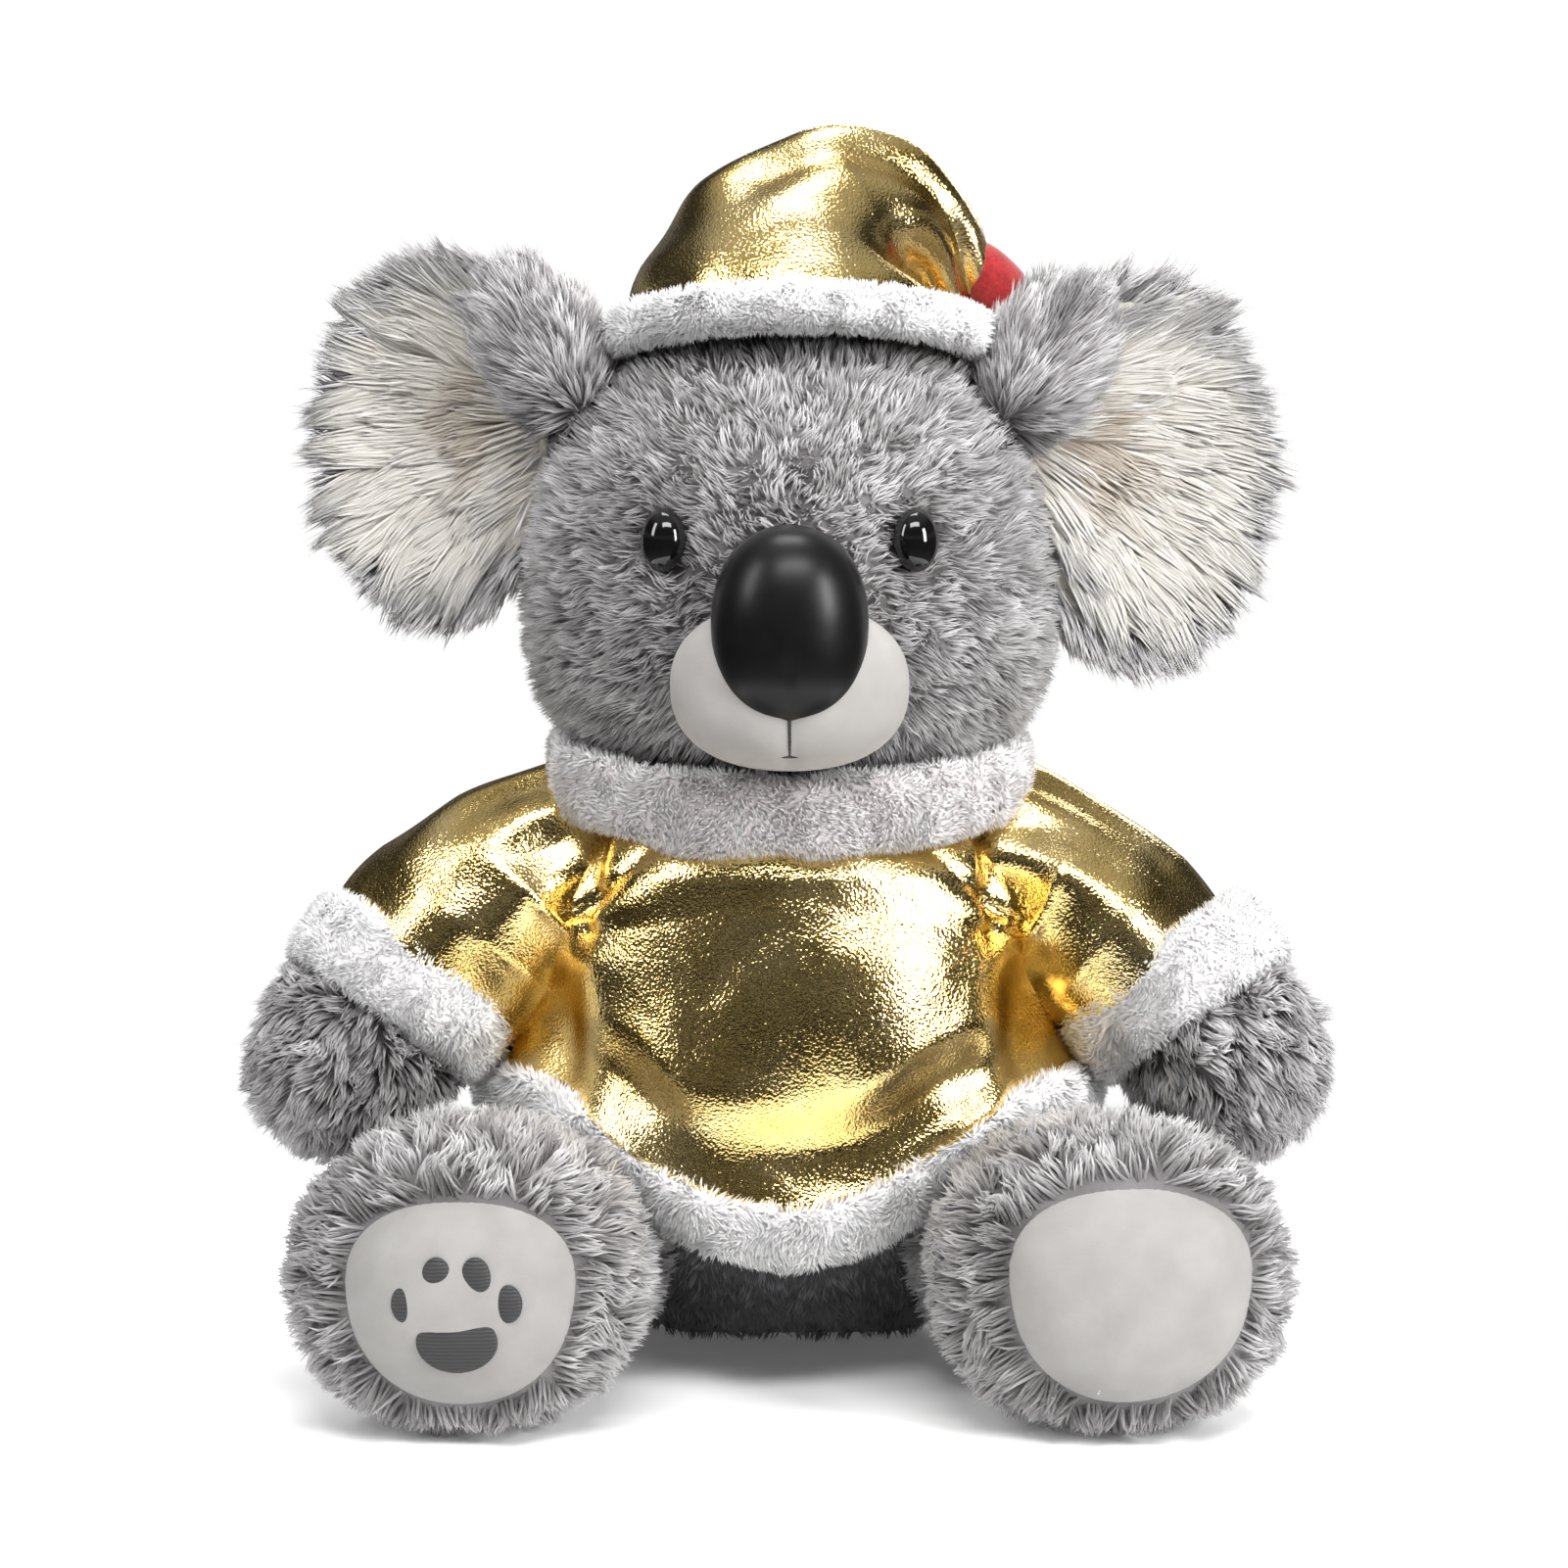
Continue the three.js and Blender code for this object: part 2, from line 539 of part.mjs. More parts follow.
// Arms with their sleeves
function makeArm(side) {
  const palm = vec(side * paw.x, paw.y, shoulderZ - paw.drop);
  const curve = new THREE.CatmullRomCurve3([
    vec(side * arm.innerStartX, shoulder.centreY, shoulderZ),
    vec(
      side * shoulder.clearX,
      lerp(shoulder.centreY, wrist.y, armBendShares.forward),
      shoulderZ - wrist.drop * armBendShares.down,
    ),
    vec(side * wrist.x, wrist.y, shoulderZ - wrist.drop),
    palm,
  ], false, "centripetal");
  const radiusAt = (grow) => (s) => lerp(arm.rootRadius, arm.wristRadius, s) + grow;
  const limb = (grow) => join(
    solid(taperedTube(curve, radiusAt(grow), facets(grow).steps, facets(grow).around)),
    solid(ball(palm, vec(paw.halfWidth, paw.halfDepth, paw.halfHeight).addScalar(grow), facets(grow))),
  );
  const room = join(
    solid(block(
      vec(Math.min(side * (shoulder.clearX + seamGap), side * farOut), -farOut, -farOut),
      vec(Math.max(side * (shoulder.clearX + seamGap), side * farOut), farOut, farOut),
    )),
    solid(bar(
      shoulderPivot(side).setX(side * (shoulder.discX + seamGap)),
      shoulderPivot(side).setX(side * (shoulder.clearX + overrun)),
      shoulder.radius * facetShare - seamGap,
      pocketSides,
    )),
  );
  const clothTube = (grow, end) => {
    const { steps, around } = outerFacets;
    const part = new THREE.CatmullRomCurve3(
      Array.from({ length: steps + 1 }, (_, i) => curve.getPointAt((end * i) / steps)),
    );
    const bulge = (s) => sleeve.bulge * Math.sin(Math.PI * s);
    const radius = (s) => lerp(sleeve.radius, sleeve.endRadius, s) + bulge(s) + grow;
    return solid(taperedTube(part, radius, steps, around));
  };
  const sleeveEnd = curve.getPointAt(sleeveEndShare);
  const armAway = curve.getTangentAt(sleeveEndShare);
  const bandCurve = new THREE.LineCurve3(
    sleeveEnd.clone().addScaledVector(armAway, -cuff.length * cuffBackShare),
    sleeveEnd.clone().addScaledVector(armAway, cuff.length * (1 - cuffBackShare)),
  );
  const bandFullness = (s) => lerp(cuffEdgeShare, 1, Math.sin(Math.PI * s));
  const bandRadius = (s) => sleeve.endRadius + cuff.thickness * bandFullness(s);
  const keep = (body) => mainPiece(body.intersect(room));
  return {
    skin: keep(cut(limb(0), limb(-plushWall))),
    fill: keep(limb(-plushWall - seamGap)),
    sleeve: keep(cut(clothTube(0, sleeveEndShare), limb(seamGap))),
    cuff: keep(cut(
      solid(taperedTube(bandCurve, bandRadius, innerFacets.steps, outerFacets.around)),
      limb(seamGap),
      clothTube(seamGap, sleeveEndShare),
    )),
  };
}
const arms = { left: makeArm(-1), right: makeArm(1) };
const armReach = [["left", -1], ["right", 1]].map(([name, side]) => reachAboutX(
  Object.values(arms[name]), shoulderPivot(side), side, shoulder.clearX,
));

// Legs with their soles
function makeLeg(side) {
  const centre = vec(side * foot.across, foot.y, foot.halfHeight - floorCut);
  const root = vec(side * thigh.innerX, thigh.innerY, hip.z);
  const footBall = (grow) => solid(ball(
    centre, vec(foot.halfWidth, foot.halfDepth, foot.halfHeight).addScalar(grow), facets(grow),
  ));
  const limb = (grow) => join(
    footBall(grow),
    solid(taperedTube(
      new THREE.LineCurve3(root, centre), (s) => lerp(thigh.rootRadius, thigh.footRadius, s) + grow,
      innerFacets.steps, facets(grow).around,
    )),
  );
  const pivot = vec(side * hip.across, hip.centreY, hip.z);
  const splayed = (body, steps) => turnedCopies(
    body, pivot, zAxis, -hip.splayAngle, hip.splayAngle, steps,
  );
  const meets = splayed(torsoShape(seamGap), turnSteps.fine);
  const soleAxis = centre.clone().setY(centre.y - foot.halfDepth - overrun);
  const soleCut = solid(bar(centre, soleAxis, 1, outerFacets.around).translate(-centre.x, 0, -centre.z)
    .scale(sole.halfWidth, 1, sole.halfHeight).translate(centre.x, 0, centre.z));
  return {
    skin: mainPiece(cut(limb(0), limb(-plushWall), underFloor, meets)),
    fill: mainPiece(cut(
      limb(-plushWall - seamGap),
      solid(block(vec(-farOut, -farOut, -farOut), vec(farOut, farOut, plushWall + seamGap))),
      meets,
    )),
    sole: mainPiece(cut(footBall(sole.thickness + seamGap).intersect(soleCut), footBall(seamGap))),
    reach: splayed(limb(2 * seamGap), turnSteps.coarse),
    pivot,
  };
}
const legs = { left: makeLeg(-1), right: makeLeg(1) };
const legReach = [...legs.left.reach, ...legs.right.reach];

// Jumper: one wall from the neckline to a hem that rises over the thighs
function hemHeight(turn) {
  const fromFront = THREE.MathUtils.radToDeg(Math.acos(THREE.MathUtils.clamp(-Math.sin(turn), -1, 1)));
  const rise = THREE.MathUtils.smoothstep(fromFront, 0, hemAngle.sideStart);
  const fall = THREE.MathUtils.smoothstep(fromFront, hemAngle.sideEnd, hemAngle.behind);
  return lerp(lerp(hemHeights.front, hemHeights.side, rise), hemHeights.back, fall);
}

function jumperPoint(turn, level, flareShare, inset) {
  const backness = Math.max(0, Math.sin(turn));
  const z = lerp(torso.height - jumper.topInset, hemHeight(turn), level);
  const width = torsoRadiusShare(z);
  const ease = jumper.ease + lerp(jumper.flare, jumper.backFlare, backness) * flareShare - inset;
  return vec(
    Math.cos(turn) * (width * torso.halfWidth + ease),
    torso.centreY + Math.sin(turn) * (width * torso.halfDepth + ease),
    z,
  );
}

function jumperShape(grow) {
  const shell = [
    ...jumperLevelShares.map((level, i) => [level, jumperFlareShares[i], -grow]),
    ...jumperLevelShares.map((level, i) => [level, jumperFlareShares[i], clothWall + grow]).reverse(),
  ];
  return solid(skin(Array.from({ length: jumperSides }, (_, i) => {
    const turn = (2 * Math.PI * i) / jumperSides;
    return shell.map(([level, flare, inset]) => (
      jumperPoint(turn, level, flare, inset).add(vec(0, 0, grow * (1 - 2 * level)))
    ));
  }), true));
}

const jumperBody = mainPiece(cut(
  jumperShape(0), torsoShape(seamGap), pockets(0), armReach, legReach,
));
const hemBand = solid(bandRing(torso.halfWidth, torso.halfDepth, hem.height, hem.thickness, (turn) => (
  jumperPoint(turn, 1, 1, clothWall / 2).add(vec(0, 0, -hem.height / 2 - seamGap))
), jumperSides));
const hemBody = mainPiece(cut(hemBand, torsoShape(seamGap), armReach, legReach));
const headTurns = turnedCopies(
  join(headShape(3 * seamGap), muzzleShape(2 * seamGap)),
  neckTop, zAxis, -head.turnAngle, head.turnAngle, turnSteps.coarse,
);
const collarRing = bandRing(collar.halfWidth, collar.halfDepth, collar.height, collar.thickness)
  .rotateX(radians(collarTiltAngle))
  .translate(0, collar.centreY, torso.height + collar.rise);
const collarBody = mainPiece(cut(
  solid(collarRing), headTurns, torsoShape(seamGap), jumperShape(seamGap), pockets(0),
));

// Assembly
const group = new THREE.Group();
function add(name, body, finish) {
  const geometry = geometryOf(body);
  geometry.computeVertexNormals();
  const mesh = new THREE.Mesh(geometry, new THREE.MeshStandardMaterial(finishes[finish]));
  mesh.name = name;
  group.add(mesh);
}

add("torso_skin", torsoSkin, "grey");
add("torso_fill", torsoFill, "fibre");
add("pellet_bag", bag, "pellets");
add("head_skin", headSkin, "grey");
add("head_fill", headFill, "fibre");
add("muzzle", muzzleBody, "white");
add("nose", noseBody, "black");
add("nose_washer", noseHold.ring, "clear");
add("jumper_body", jumperBody, "gold");
add("collar_trim", collarBody, "white");
add("hem_trim", hemBody, "white");
add("hat_crown", crownBody, "gold");
add("hat_brim", brimBody, "white");
add("hat_tail", tailBody, "red");
add("hat_pompom", pompomBody, "white");
for (const name of ["left", "right"]) {
  add(`eye_${name}`, eyes[name].piece, "black");
  add(`eye_washer_${name}`, eyes[name].ring, "clear");
  add(`ear_back_${name}`, ears[name].back, "grey");
  add(`ear_front_${name}`, ears[name].front, "white");
  add(`arm_skin_${name}`, arms[name].skin, "grey");
  add(`arm_fill_${name}`, arms[name].fill, "fibre");
  add(`sleeve_${name}`, arms[name].sleeve, "gold");
  add(`cuff_${name}`, arms[name].cuff, "white");
  add(`leg_skin_${name}`, legs[name].skin, "grey");
  add(`leg_fill_${name}`, legs[name].fill, "fibre");
  add(`foot_sole_${name}`, legs[name].sole, "white");
}

// The origin is under the middle of the whole toy, on the surface that it sits on
const bounds = new THREE.Box3().setFromObject(group);
const middle = bounds.getCenter(vec(0, 0, 0));
group.position.set(-middle.x, -middle.y, -bounds.min.z);
group.updateMatrixWorld(true);

export default group;
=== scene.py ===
"""A seated plush koala in a foil jumper and a pointed hat, dressed round its frame.

Sizes are in millimetres until a mesh is laid in the frame. Left and right are as seen from the front.
"""
import math

import bpy
import numpy as np
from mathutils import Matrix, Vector, kdtree


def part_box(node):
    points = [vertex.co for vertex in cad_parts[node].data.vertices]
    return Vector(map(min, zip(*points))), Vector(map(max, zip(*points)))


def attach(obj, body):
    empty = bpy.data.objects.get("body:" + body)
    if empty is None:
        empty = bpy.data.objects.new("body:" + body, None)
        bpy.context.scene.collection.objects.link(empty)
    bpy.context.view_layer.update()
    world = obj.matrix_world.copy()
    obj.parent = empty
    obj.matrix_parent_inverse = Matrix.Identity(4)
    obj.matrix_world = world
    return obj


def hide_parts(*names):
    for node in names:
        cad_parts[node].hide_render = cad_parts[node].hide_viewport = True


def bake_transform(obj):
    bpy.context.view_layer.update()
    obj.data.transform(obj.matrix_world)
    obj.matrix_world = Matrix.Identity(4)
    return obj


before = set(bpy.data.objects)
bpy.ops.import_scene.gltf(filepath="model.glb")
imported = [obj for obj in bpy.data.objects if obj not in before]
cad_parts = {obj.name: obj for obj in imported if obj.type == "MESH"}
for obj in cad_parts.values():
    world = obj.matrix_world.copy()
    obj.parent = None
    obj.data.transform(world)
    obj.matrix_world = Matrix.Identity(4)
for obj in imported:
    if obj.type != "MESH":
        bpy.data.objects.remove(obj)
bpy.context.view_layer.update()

MM = 0.001
SIDES = {"left": -1, "right": 1}


def cad_box_mm(node):
    low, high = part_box(node)
    return np.array(low) / MM, np.array(high) / MM


# The toy's own sizes
TORSO = dict(half_width=54.0, half_depth=45.0, height=133.7, centre_y=8.0)
TORSO_SHARES = np.array([
    (0.0, 0.0), (0.46, 0.0), (0.7, 0.05), (0.88, 0.14), (1.0, 0.32), (1.0, 0.55),
    (0.98, 0.72), (0.93, 0.86), (0.82, 0.95), (0.68, 1.0), (0.0, 1.0),
])
HEAD = dict(half_width=60.5, half_depth=50.0, rise=66.0, fall=46.0, centre_z=178.0)
HEAD_FULLNESS = (2.1, 3.1)
EYE = dict(half_width=5.0, half_height=6.5, dome=3.6, across=27.0, up=11.0)
NOSE = dict(half_width=16.5, half_depth=14.0, half_height=20.8, up=-6.7, proud=7.0)
MUZZLE = dict(half_width=25.5, half_depth=16.0, half_height=18.0, up=-20.0)
EAR = {
    "left": dict(centre=(-75.5, 2.0, 212.5), half=(25.0, 37.0), lean=-4.0, yaw=12.0,
                 gather=(-45.5, -19.0, 215.6), lobe=(-54.0, -14.0, 230.0), lobe_lean=31.0),
    "right": dict(centre=(76.5, 2.0, 205.0), half=(26.5, 39.5), lean=-2.0, yaw=12.0,
                  gather=(46.6, -19.0, 212.6), lobe=(56.0, -14.0, 227.0), lobe_lean=33.0),
}
EAR_DEPTH = dict(back=7.0, front=2.5, cup=5.0, back_set=0.2, front_set=0.4)
EAR_FRONT_SHARE = 0.92
EAR_LOBE = (10.5, 6.0, 16.5)
ARM_ROUTE = [(40.0, 6.0, 115.0), (58.5, 3.3, 110.0), (88.0, -3.0, 86.0), (101.0, -9.0, 68.0)]
# Rows of a share of the route's length and the radius there
ARM_WIDTHS = [
    (0, 0), (0.02, 17.0), (0.25, 17.5), (0.5, 18.0), (0.62, 19.5), (0.72, 20.6), (0.84, 19.8), (0.93, 15.8),
    (0.985, 7.0), (1.0, 0),
]
SLEEVE_ROUTE = [(33.0, 7.0, 120.0), (57.0, 4.0, 112.5), (77.0, 0.0, 97.0), (90.5, -4.2, 83.0)]
SLEEVE_WIDTHS = [(0, 15.0), (0.2, 21.5), (0.45, 25.5), (0.7, 27.3), (0.88, 26.6), (1.0, 24.5)]
SLEEVE_SLACK = {"left": 1.0, "right": 6.0}
CUFF = dict(radius=23.6, height=18.5, thickness=7.5, along_share=0.04)
PAW = dict(centre=(101.0, -9.0, 68.0), half=(19.0, 19.0, 19.0))
FOOT = dict(centre=(68.6, -60.0, 33.0), half=(35.0, 24.5, 31.0))
THIGH = dict(root=(33.0, -2.0, 28.0), root_radius=20.5, foot_radius=24.0)
SOLE = {
    "left": dict(centre=(-68.4, 31.7), half_width=23.6, half_height=22.6),
    "right": dict(centre=(71.0, 33.2), half_width=25.2, half_height=23.8),
}
SOLE_THICKNESS = 2.2
CLOTH_THICKNESS = 0.9
# Pads of the paw print: across and up from the middle of the sole, half width and half height
PAW_PADS = [
    (0.0, -4.6, 8.4, 6.4), (-10.6, 3.4, 2.9, 4.0), (-4.0, 9.0, 3.1, 4.4), (4.0, 9.0, 3.1, 4.4),
    (10.6, 3.4, 2.9, 4.0),
]
PAW_PRINT = dict(drop=1.5, half_thickness=0.9, proud=0.2)
# The gathered corner of the right sole, across and up from its middle
SOLE_TUCK = [
    (9.0 + 18.5 * t, 20.5 - 16.0 * t - 9.0 * t * (1 - t)) for t in (k / 24 for k in range(25))
]
HEM_HEIGHTS = dict(front=44.0, side=68.0, back=30.0)
HEM_DEGREES = dict(rise_end=62.0, fall_start=100.0)
HEM_BAND = dict(height=14.0, thickness=8.0, lap=1.0, inset=0.5, pile=0.75)
COLLAR = dict(half_width=51.5, half_depth=42.0, height=19.5, thickness=10.0, z=136.3, y=1.0, tilt=10.0)
BRIM = dict(half_width=43.6, half_depth=39.0, height=11.5, thickness=8.5, tilt=12.0, centre_z=230.5)
# How far the pile of a band stands proud of its cloth
TRIM_PILE = 0.5
POMPOM_CORE = 6.0  # radius of the pompom without its pile
FLOOR_CUT = 0.5  # the lowest that the feet's fabric comes

# The whole frame is moved so that its box is centred; the torso says by how much
torso_low, torso_high = cad_box_mm("torso_skin")
SHIFT = np.array([
    (torso_low[0] + torso_high[0]) / 2,
    (torso_low[1] + torso_high[1]) / 2 - TORSO["centre_y"],
    0.0,
])


def lay(points):
    """Design millimetres to frame metres."""
    return (np.asarray(points, float) + SHIFT) * MM


def smooth(x, low, high):
    s = np.clip((np.asarray(x, float) - low) / (high - low), 0.0, 1.0)
    return s * s * (3 - 2 * s)


def mix(a, b, s):
    return a + (b - a) * s


def bell(*offsets):
    """1 at the middle of a place and falling off round it; the offsets are in widths of the place."""
    return np.exp(-sum(offset**2 for offset in offsets))


def turn_matrix(axis, degrees):
    """A turn about one axis of the frame, by the right hand."""
    angle = math.radians(degrees)
    c, s = math.cos(angle), math.sin(angle)
    return np.array({
        "x": [[1, 0, 0], [0, c, -s], [0, s, c]],
        "y": [[c, 0, s], [0, 1, 0], [-s, 0, c]],
        "z": [[c, -s, 0], [s, c, 0], [0, 0, 1]],
    }[axis])


def widths(v, rows):
    """Radii at shares of a length, from rows of a share and a radius."""
    table = np.array(rows)
    return np.interp(v, table[:, 0], table[:, 1])


def ripple(points, size, seed):
    """A smooth field between about -1 and 1 that varies over the given size."""
    rng = np.random.default_rng(seed)
    total = np.zeros(len(points))
    for _ in range(6):
        wave = rng.normal(size=3)
        wave *= 2 * math.pi / (size * rng.uniform(0.8, 1.7) * np.linalg.norm(wave))
        total += np.sin(points @ wave + rng.uniform(0, 2 * math.pi))
    return total / 3.0


def oval_share(t, fullness):
    power = np.where(t > 0, fullness[0], fullness[1])
    return np.maximum(0.0, 1 - np.abs(t) ** power) ** (1 / power)


def deselect():
    bpy.ops.object.select_all(action="DESELECT")


def positions(mesh):
    flat = np.empty(len(mesh.vertices) * 3)
    mesh.vertices.foreach_get("co", flat)
    return flat.reshape(-1, 3)


def set_positions(mesh, points):
    mesh.vertices.foreach_set("co", np.asarray(points, float).ravel())
    mesh.update()


# In metres: nearer points are merged, and shorter edges are dissolved
MERGE_DISTANCE = 2e-6
LEAST_EDGE = 1e-7


def wrapped(name, across, along, form):
    """A grid wrapped into a form. form takes arrays u and v from 0 to 1 and gives design millimetres."""
    deselect()
    bpy.ops.mesh.primitive_grid_add(x_subdivisions=across, y_subdivisions=along, size=1.0)
    obj = bpy.context.object
    obj.name = name
    obj.data.name = name
    flat = positions(obj.data) + (0.5, 0.5, 0.0)
    set_positions(obj.data, lay(form(flat[:, 0], flat[:, 1])))
    bpy.ops.object.mode_set(mode="EDIT")
    bpy.ops.mesh.select_all(action="SELECT")
    bpy.ops.mesh.remove_doubles(threshold=MERGE_DISTANCE)
    bpy.ops.mesh.dissolve_degenerate(threshold=LEAST_EDGE)
    bpy.ops.mesh.normals_make_consistent(inside=False)
    bpy.ops.object.mode_set(mode="OBJECT")
    bpy.ops.object.shade_smooth()
    deselect()
    return obj


def joined(name, *objs):
    deselect()
    for obj in objs:
        obj.select_set(True)
    bpy.context.view_layer.objects.active = objs[0]
    bpy.ops.object.join()
    objs[0].name = name
    objs[0].data.name = name
    deselect()
    return objs[0]


def cloth(obj):
    """The sheet with a wall of cloth on its inner side."""
    deselect()
    obj.select_set(True)
    bpy.context.view_layer.objects.active = obj
    wall = obj.modifiers.new("Solidify", "SOLIDIFY")
    wall.thickness = CLOTH_THICKNESS * MM
    wall.offset = -1.0
    wall.use_rim = True
    bpy.ops.object.modifier_apply(modifier=wall.name)
    obj.select_set(False)
    return obj


def mesh_of(name, points, triangles, uv, material):
    """A mesh object from arrays of points in metres, triangles and one UV pair for each triangle corner."""
    mesh = bpy.data.meshes.new(name)
    mesh.vertices.add(len(points))
    mesh.vertices.foreach_set("co", np.asarray(points, np.float32).ravel())
    mesh.loops.add(len(triangles) * 3)
    mesh.loops.foreach_set("vertex_index", np.asarray(triangles, np.int32).ravel())
    mesh.polygons.add(len(triangles))
    mesh.polygons.foreach_set("loop_start", np.arange(0, len(triangles) * 3, 3, dtype=np.int32))
    mesh.polygons.foreach_set("loop_total", np.full(len(triangles), 3, np.int32))
    mesh.polygons.foreach_set("use_smooth", np.ones(len(triangles), bool))
    layer = mesh.uv_layers.new(name="OFBake")
    layer.data.foreach_set("uv", np.asarray(uv, np.float32).ravel())
    mesh.update(calc_edges=True)
    obj = bpy.data.objects.new(name, mesh)
    bpy.context.scene.collection.objects.link(obj)
    mesh.materials.append(material)
    return obj


def triangles_of(obj):
    """Points in design millimetres, triangles, and point normals of an object."""
    mesh = obj.data
    mesh.calc_loop_triangles()
    points = positions(mesh) / MM - SHIFT
    triangles = np.empty(len(mesh.loop_triangles) * 3, np.int32)
    mesh.loop_triangles.foreach_get("vertices", triangles)
    normals = np.empty(len(mesh.vertices) * 3)
    mesh.vertex_normals.foreach_get("vector", normals)
    return points, triangles.reshape(-1, 3), normals.reshape(-1, 3)


def unit(vectors):
    return vectors / np.maximum(np.linalg.norm(vectors, axis=-1, keepdims=True), 1e-9)


# A hair, in millimetres and in shares of its own length or width
HAIR_SINK = 0.25
HAIR_LENGTH_SHARES = (0.72, 1.12)
HAIR_WIDTH_SHARES = (0.75, 1.2)
HAIR_GATHER_SHARES = (0.4, 1.0)
HAIR_ARCH_SHARE = 0.25
HAIR_RING_SHARE, HAIR_RING_DROP_SHARE = 0.9, 0.25
HAIR_FACING = 0.5
# The pile: how far apart its swirls lie, and how its hairs are shared out to the tufts
SWIRL_SIZE = 9.0
LEAST_TUFTS = 8
TUFT_SPREAD = 3.2
# The map that the colour reads, which keeps a margin inside its square
HAIR_TONE, BASE_TONE = 0.5, 0.45
HAIR_TONE_ENDS, BASE_TONE_ENDS = (0.02, 0.98), (0.05, 0.95)
MAP_FOOT, MAP_RISE = 0.02, 0.96


def furred(base, material, count, length, width, seed, lift=1.0, lean=0.6, comb=None, droop=0.0,
           joints=0, keep=None, density=None, tone=None, clump=2.2, gather=0.5, curl=0.3, scale=None,
           swirl=0.55, scatter=0.16, hair_noise=0.12, clump_noise=0.18):
    """The base with a pile grown on it: closed three-sided hairs, gathered in tufts.

    comb gives the way the pile lies, keep says which roots stay, and tone where the pile is pale.
    Each hair carries its tone along U and its height along V of the map that the colour reads.
    """
    rng = np.random.default_rng(seed)
    points, triangles, normals = triangles_of(base)
    a, b, c = (points[triangles[:, k]] for k in range(3))
    area = np.linalg.norm(np.cross(b - a, c - a), axis=1) / 2
    centre = (a + b + c) / 3
    weight = area * (density(centre) if density else 1.0)
    if keep is not None:
        weight = weight * keep(centre, unit(np.cross(b - a, c - a)))
    weight = np.maximum(weight, 0)
    face = rng.choice(len(triangles), size=count, p=weight / weight.sum())
    s, t = np.sqrt(rng.random(count)), rng.random(count)
    share = np.stack([1 - s, s * (1 - t), s * t], axis=1)
    corner = triangles[face]
    root = (points[corner] * share[:, :, None]).sum(1)
    normal = unit((normals[corner] * share[:, :, None]).sum(1))
    if keep is not None:
        stay = keep(root, normal) > 0
        root, normal = root[stay], normal[stay]
    count = len(root)
    way = comb(root, normal) if comb else np.zeros_like(root)
    way = way + swirl * np.stack([ripple(root, SWIRL_SIZE, seed + k) for k in (1, 2, 3)], axis=1)
    way = way - normal * (way * normal).sum(1, keepdims=True)
    heading = unit(normal * lift + way * lean + rng.normal(scale=scatter, size=root.shape))
    tall = length * rng.uniform(*HAIR_LENGTH_SHARES, count)
    if scale is not None:
        tall = tall * scale(root, normal)
    tip = root + heading * tall[:, None]
    tip[:, 2] -= droop * tall
    tufts = max(LEAST_TUFTS, int(count / (clump * clump * TUFT_SPREAD)))
    seeds = rng.choice(count, tufts, replace=False)
    tree = kdtree.KDTree(len(seeds))
    for i, k in enumerate(seeds):
        tree.insert(Vector(root[k]), i)
    tree.balance()
    nearest = np.array([tree.find(Vector(p))[1] for p in root])
    leader = tip[seeds[nearest]]
    pull = gather * rng.uniform(*HAIR_GATHER_SHARES, count)[:, None]
    tip = mix(tip, leader, pull)
    grip = unit(tip - root)
    side = unit(np.cross(grip, rng.normal(size=root.shape)))
    other = np.cross(grip, side)
    radius = width * rng.uniform(*HAIR_WIDTH_SHARES, count)
    rings = [(0.0, 1.0)]
    rings += [((k + 1) / (joints + 1), HAIR_RING_SHARE - HAIR_RING_DROP_SHARE * k) for k in range(joints)]
    bow = normal * HAIR_ARCH_SHARE * tall[:, None] + side * (curl * tall)[:, None]
    layers, facing = [], []
    for along, wide in rings:
        middle = mix(root - normal * HAIR_SINK, tip, along) + bow * (along * (1 - along))
        for k in range(3):
            turn = 2 * math.pi * k / 3
            facing.append(side * math.cos(turn) + other * math.sin(turn))
            layers.append(middle + facing[-1] * (radius * wide)[:, None])
    layers.append(tip)
    facing.append(grip)
    hair = np.stack(layers, axis=1)
    per = hair.shape[1]
    pattern = [(2, 1, 0)]
    for ring in range(len(rings) - 1):
        low, high = 3 * ring, 3 * ring + 3
        for k in range(3):
            n = (k + 1) % 3
            pattern += [(low + k, low + n, high + n), (low + k, high + n, high + k)]
    last = 3 * (len(rings) - 1)
    pattern += [(last + k, last + (k + 1) % 3, per - 1) for k in range(3)]
    pattern = np.array(pattern)
    heights = np.array([along for along, _ in rings for _ in range(3)] + [1.0])
    hair_triangles = (np.arange(count)[:, None, None] * per + pattern[None]).reshape(-1, 3)
    shade = rng.normal(scale=hair_noise, size=count)
    shade += rng.normal(scale=clump_noise, size=len(seeds))[nearest]
    shade = np.clip(HAIR_TONE + shade + (tone(root) if tone else 0.0), *HAIR_TONE_ENDS)
    hair_uv = np.empty((len(hair_triangles) * 3, 2))
    hair_uv[:, 0] = np.repeat(shade, len(pattern) * 3)
    hair_uv[:, 0] += np.tile([0.0, 0.006, 0.012], len(hair_triangles))
    hair_uv[:, 1] = MAP_FOOT + MAP_RISE * np.tile(heights[pattern.ravel()], count)
    base_uv = np.empty((len(triangles) * 3, 2))
    base_tone = tone(centre) if tone else np.zeros(len(triangles))
    base_uv[:, 0] = np.repeat(np.clip(BASE_TONE + base_tone, *BASE_TONE_ENDS), 3)
    base_uv[:, 0] += np.tile([0.0, 0.01, 0.0], len(triangles))
    base_uv[:, 1] = np.tile([0.02, 0.03, 0.05], len(triangles))
    everything = np.vstack([points, hair.reshape(-1, 3)])
    faces = np.vstack([triangles, hair_triangles + len(points)])
    name = base.name
    bpy.data.objects.remove(base)
    obj = mesh_of(name, lay(everything), faces, np.vstack([base_uv, hair_uv]), material)
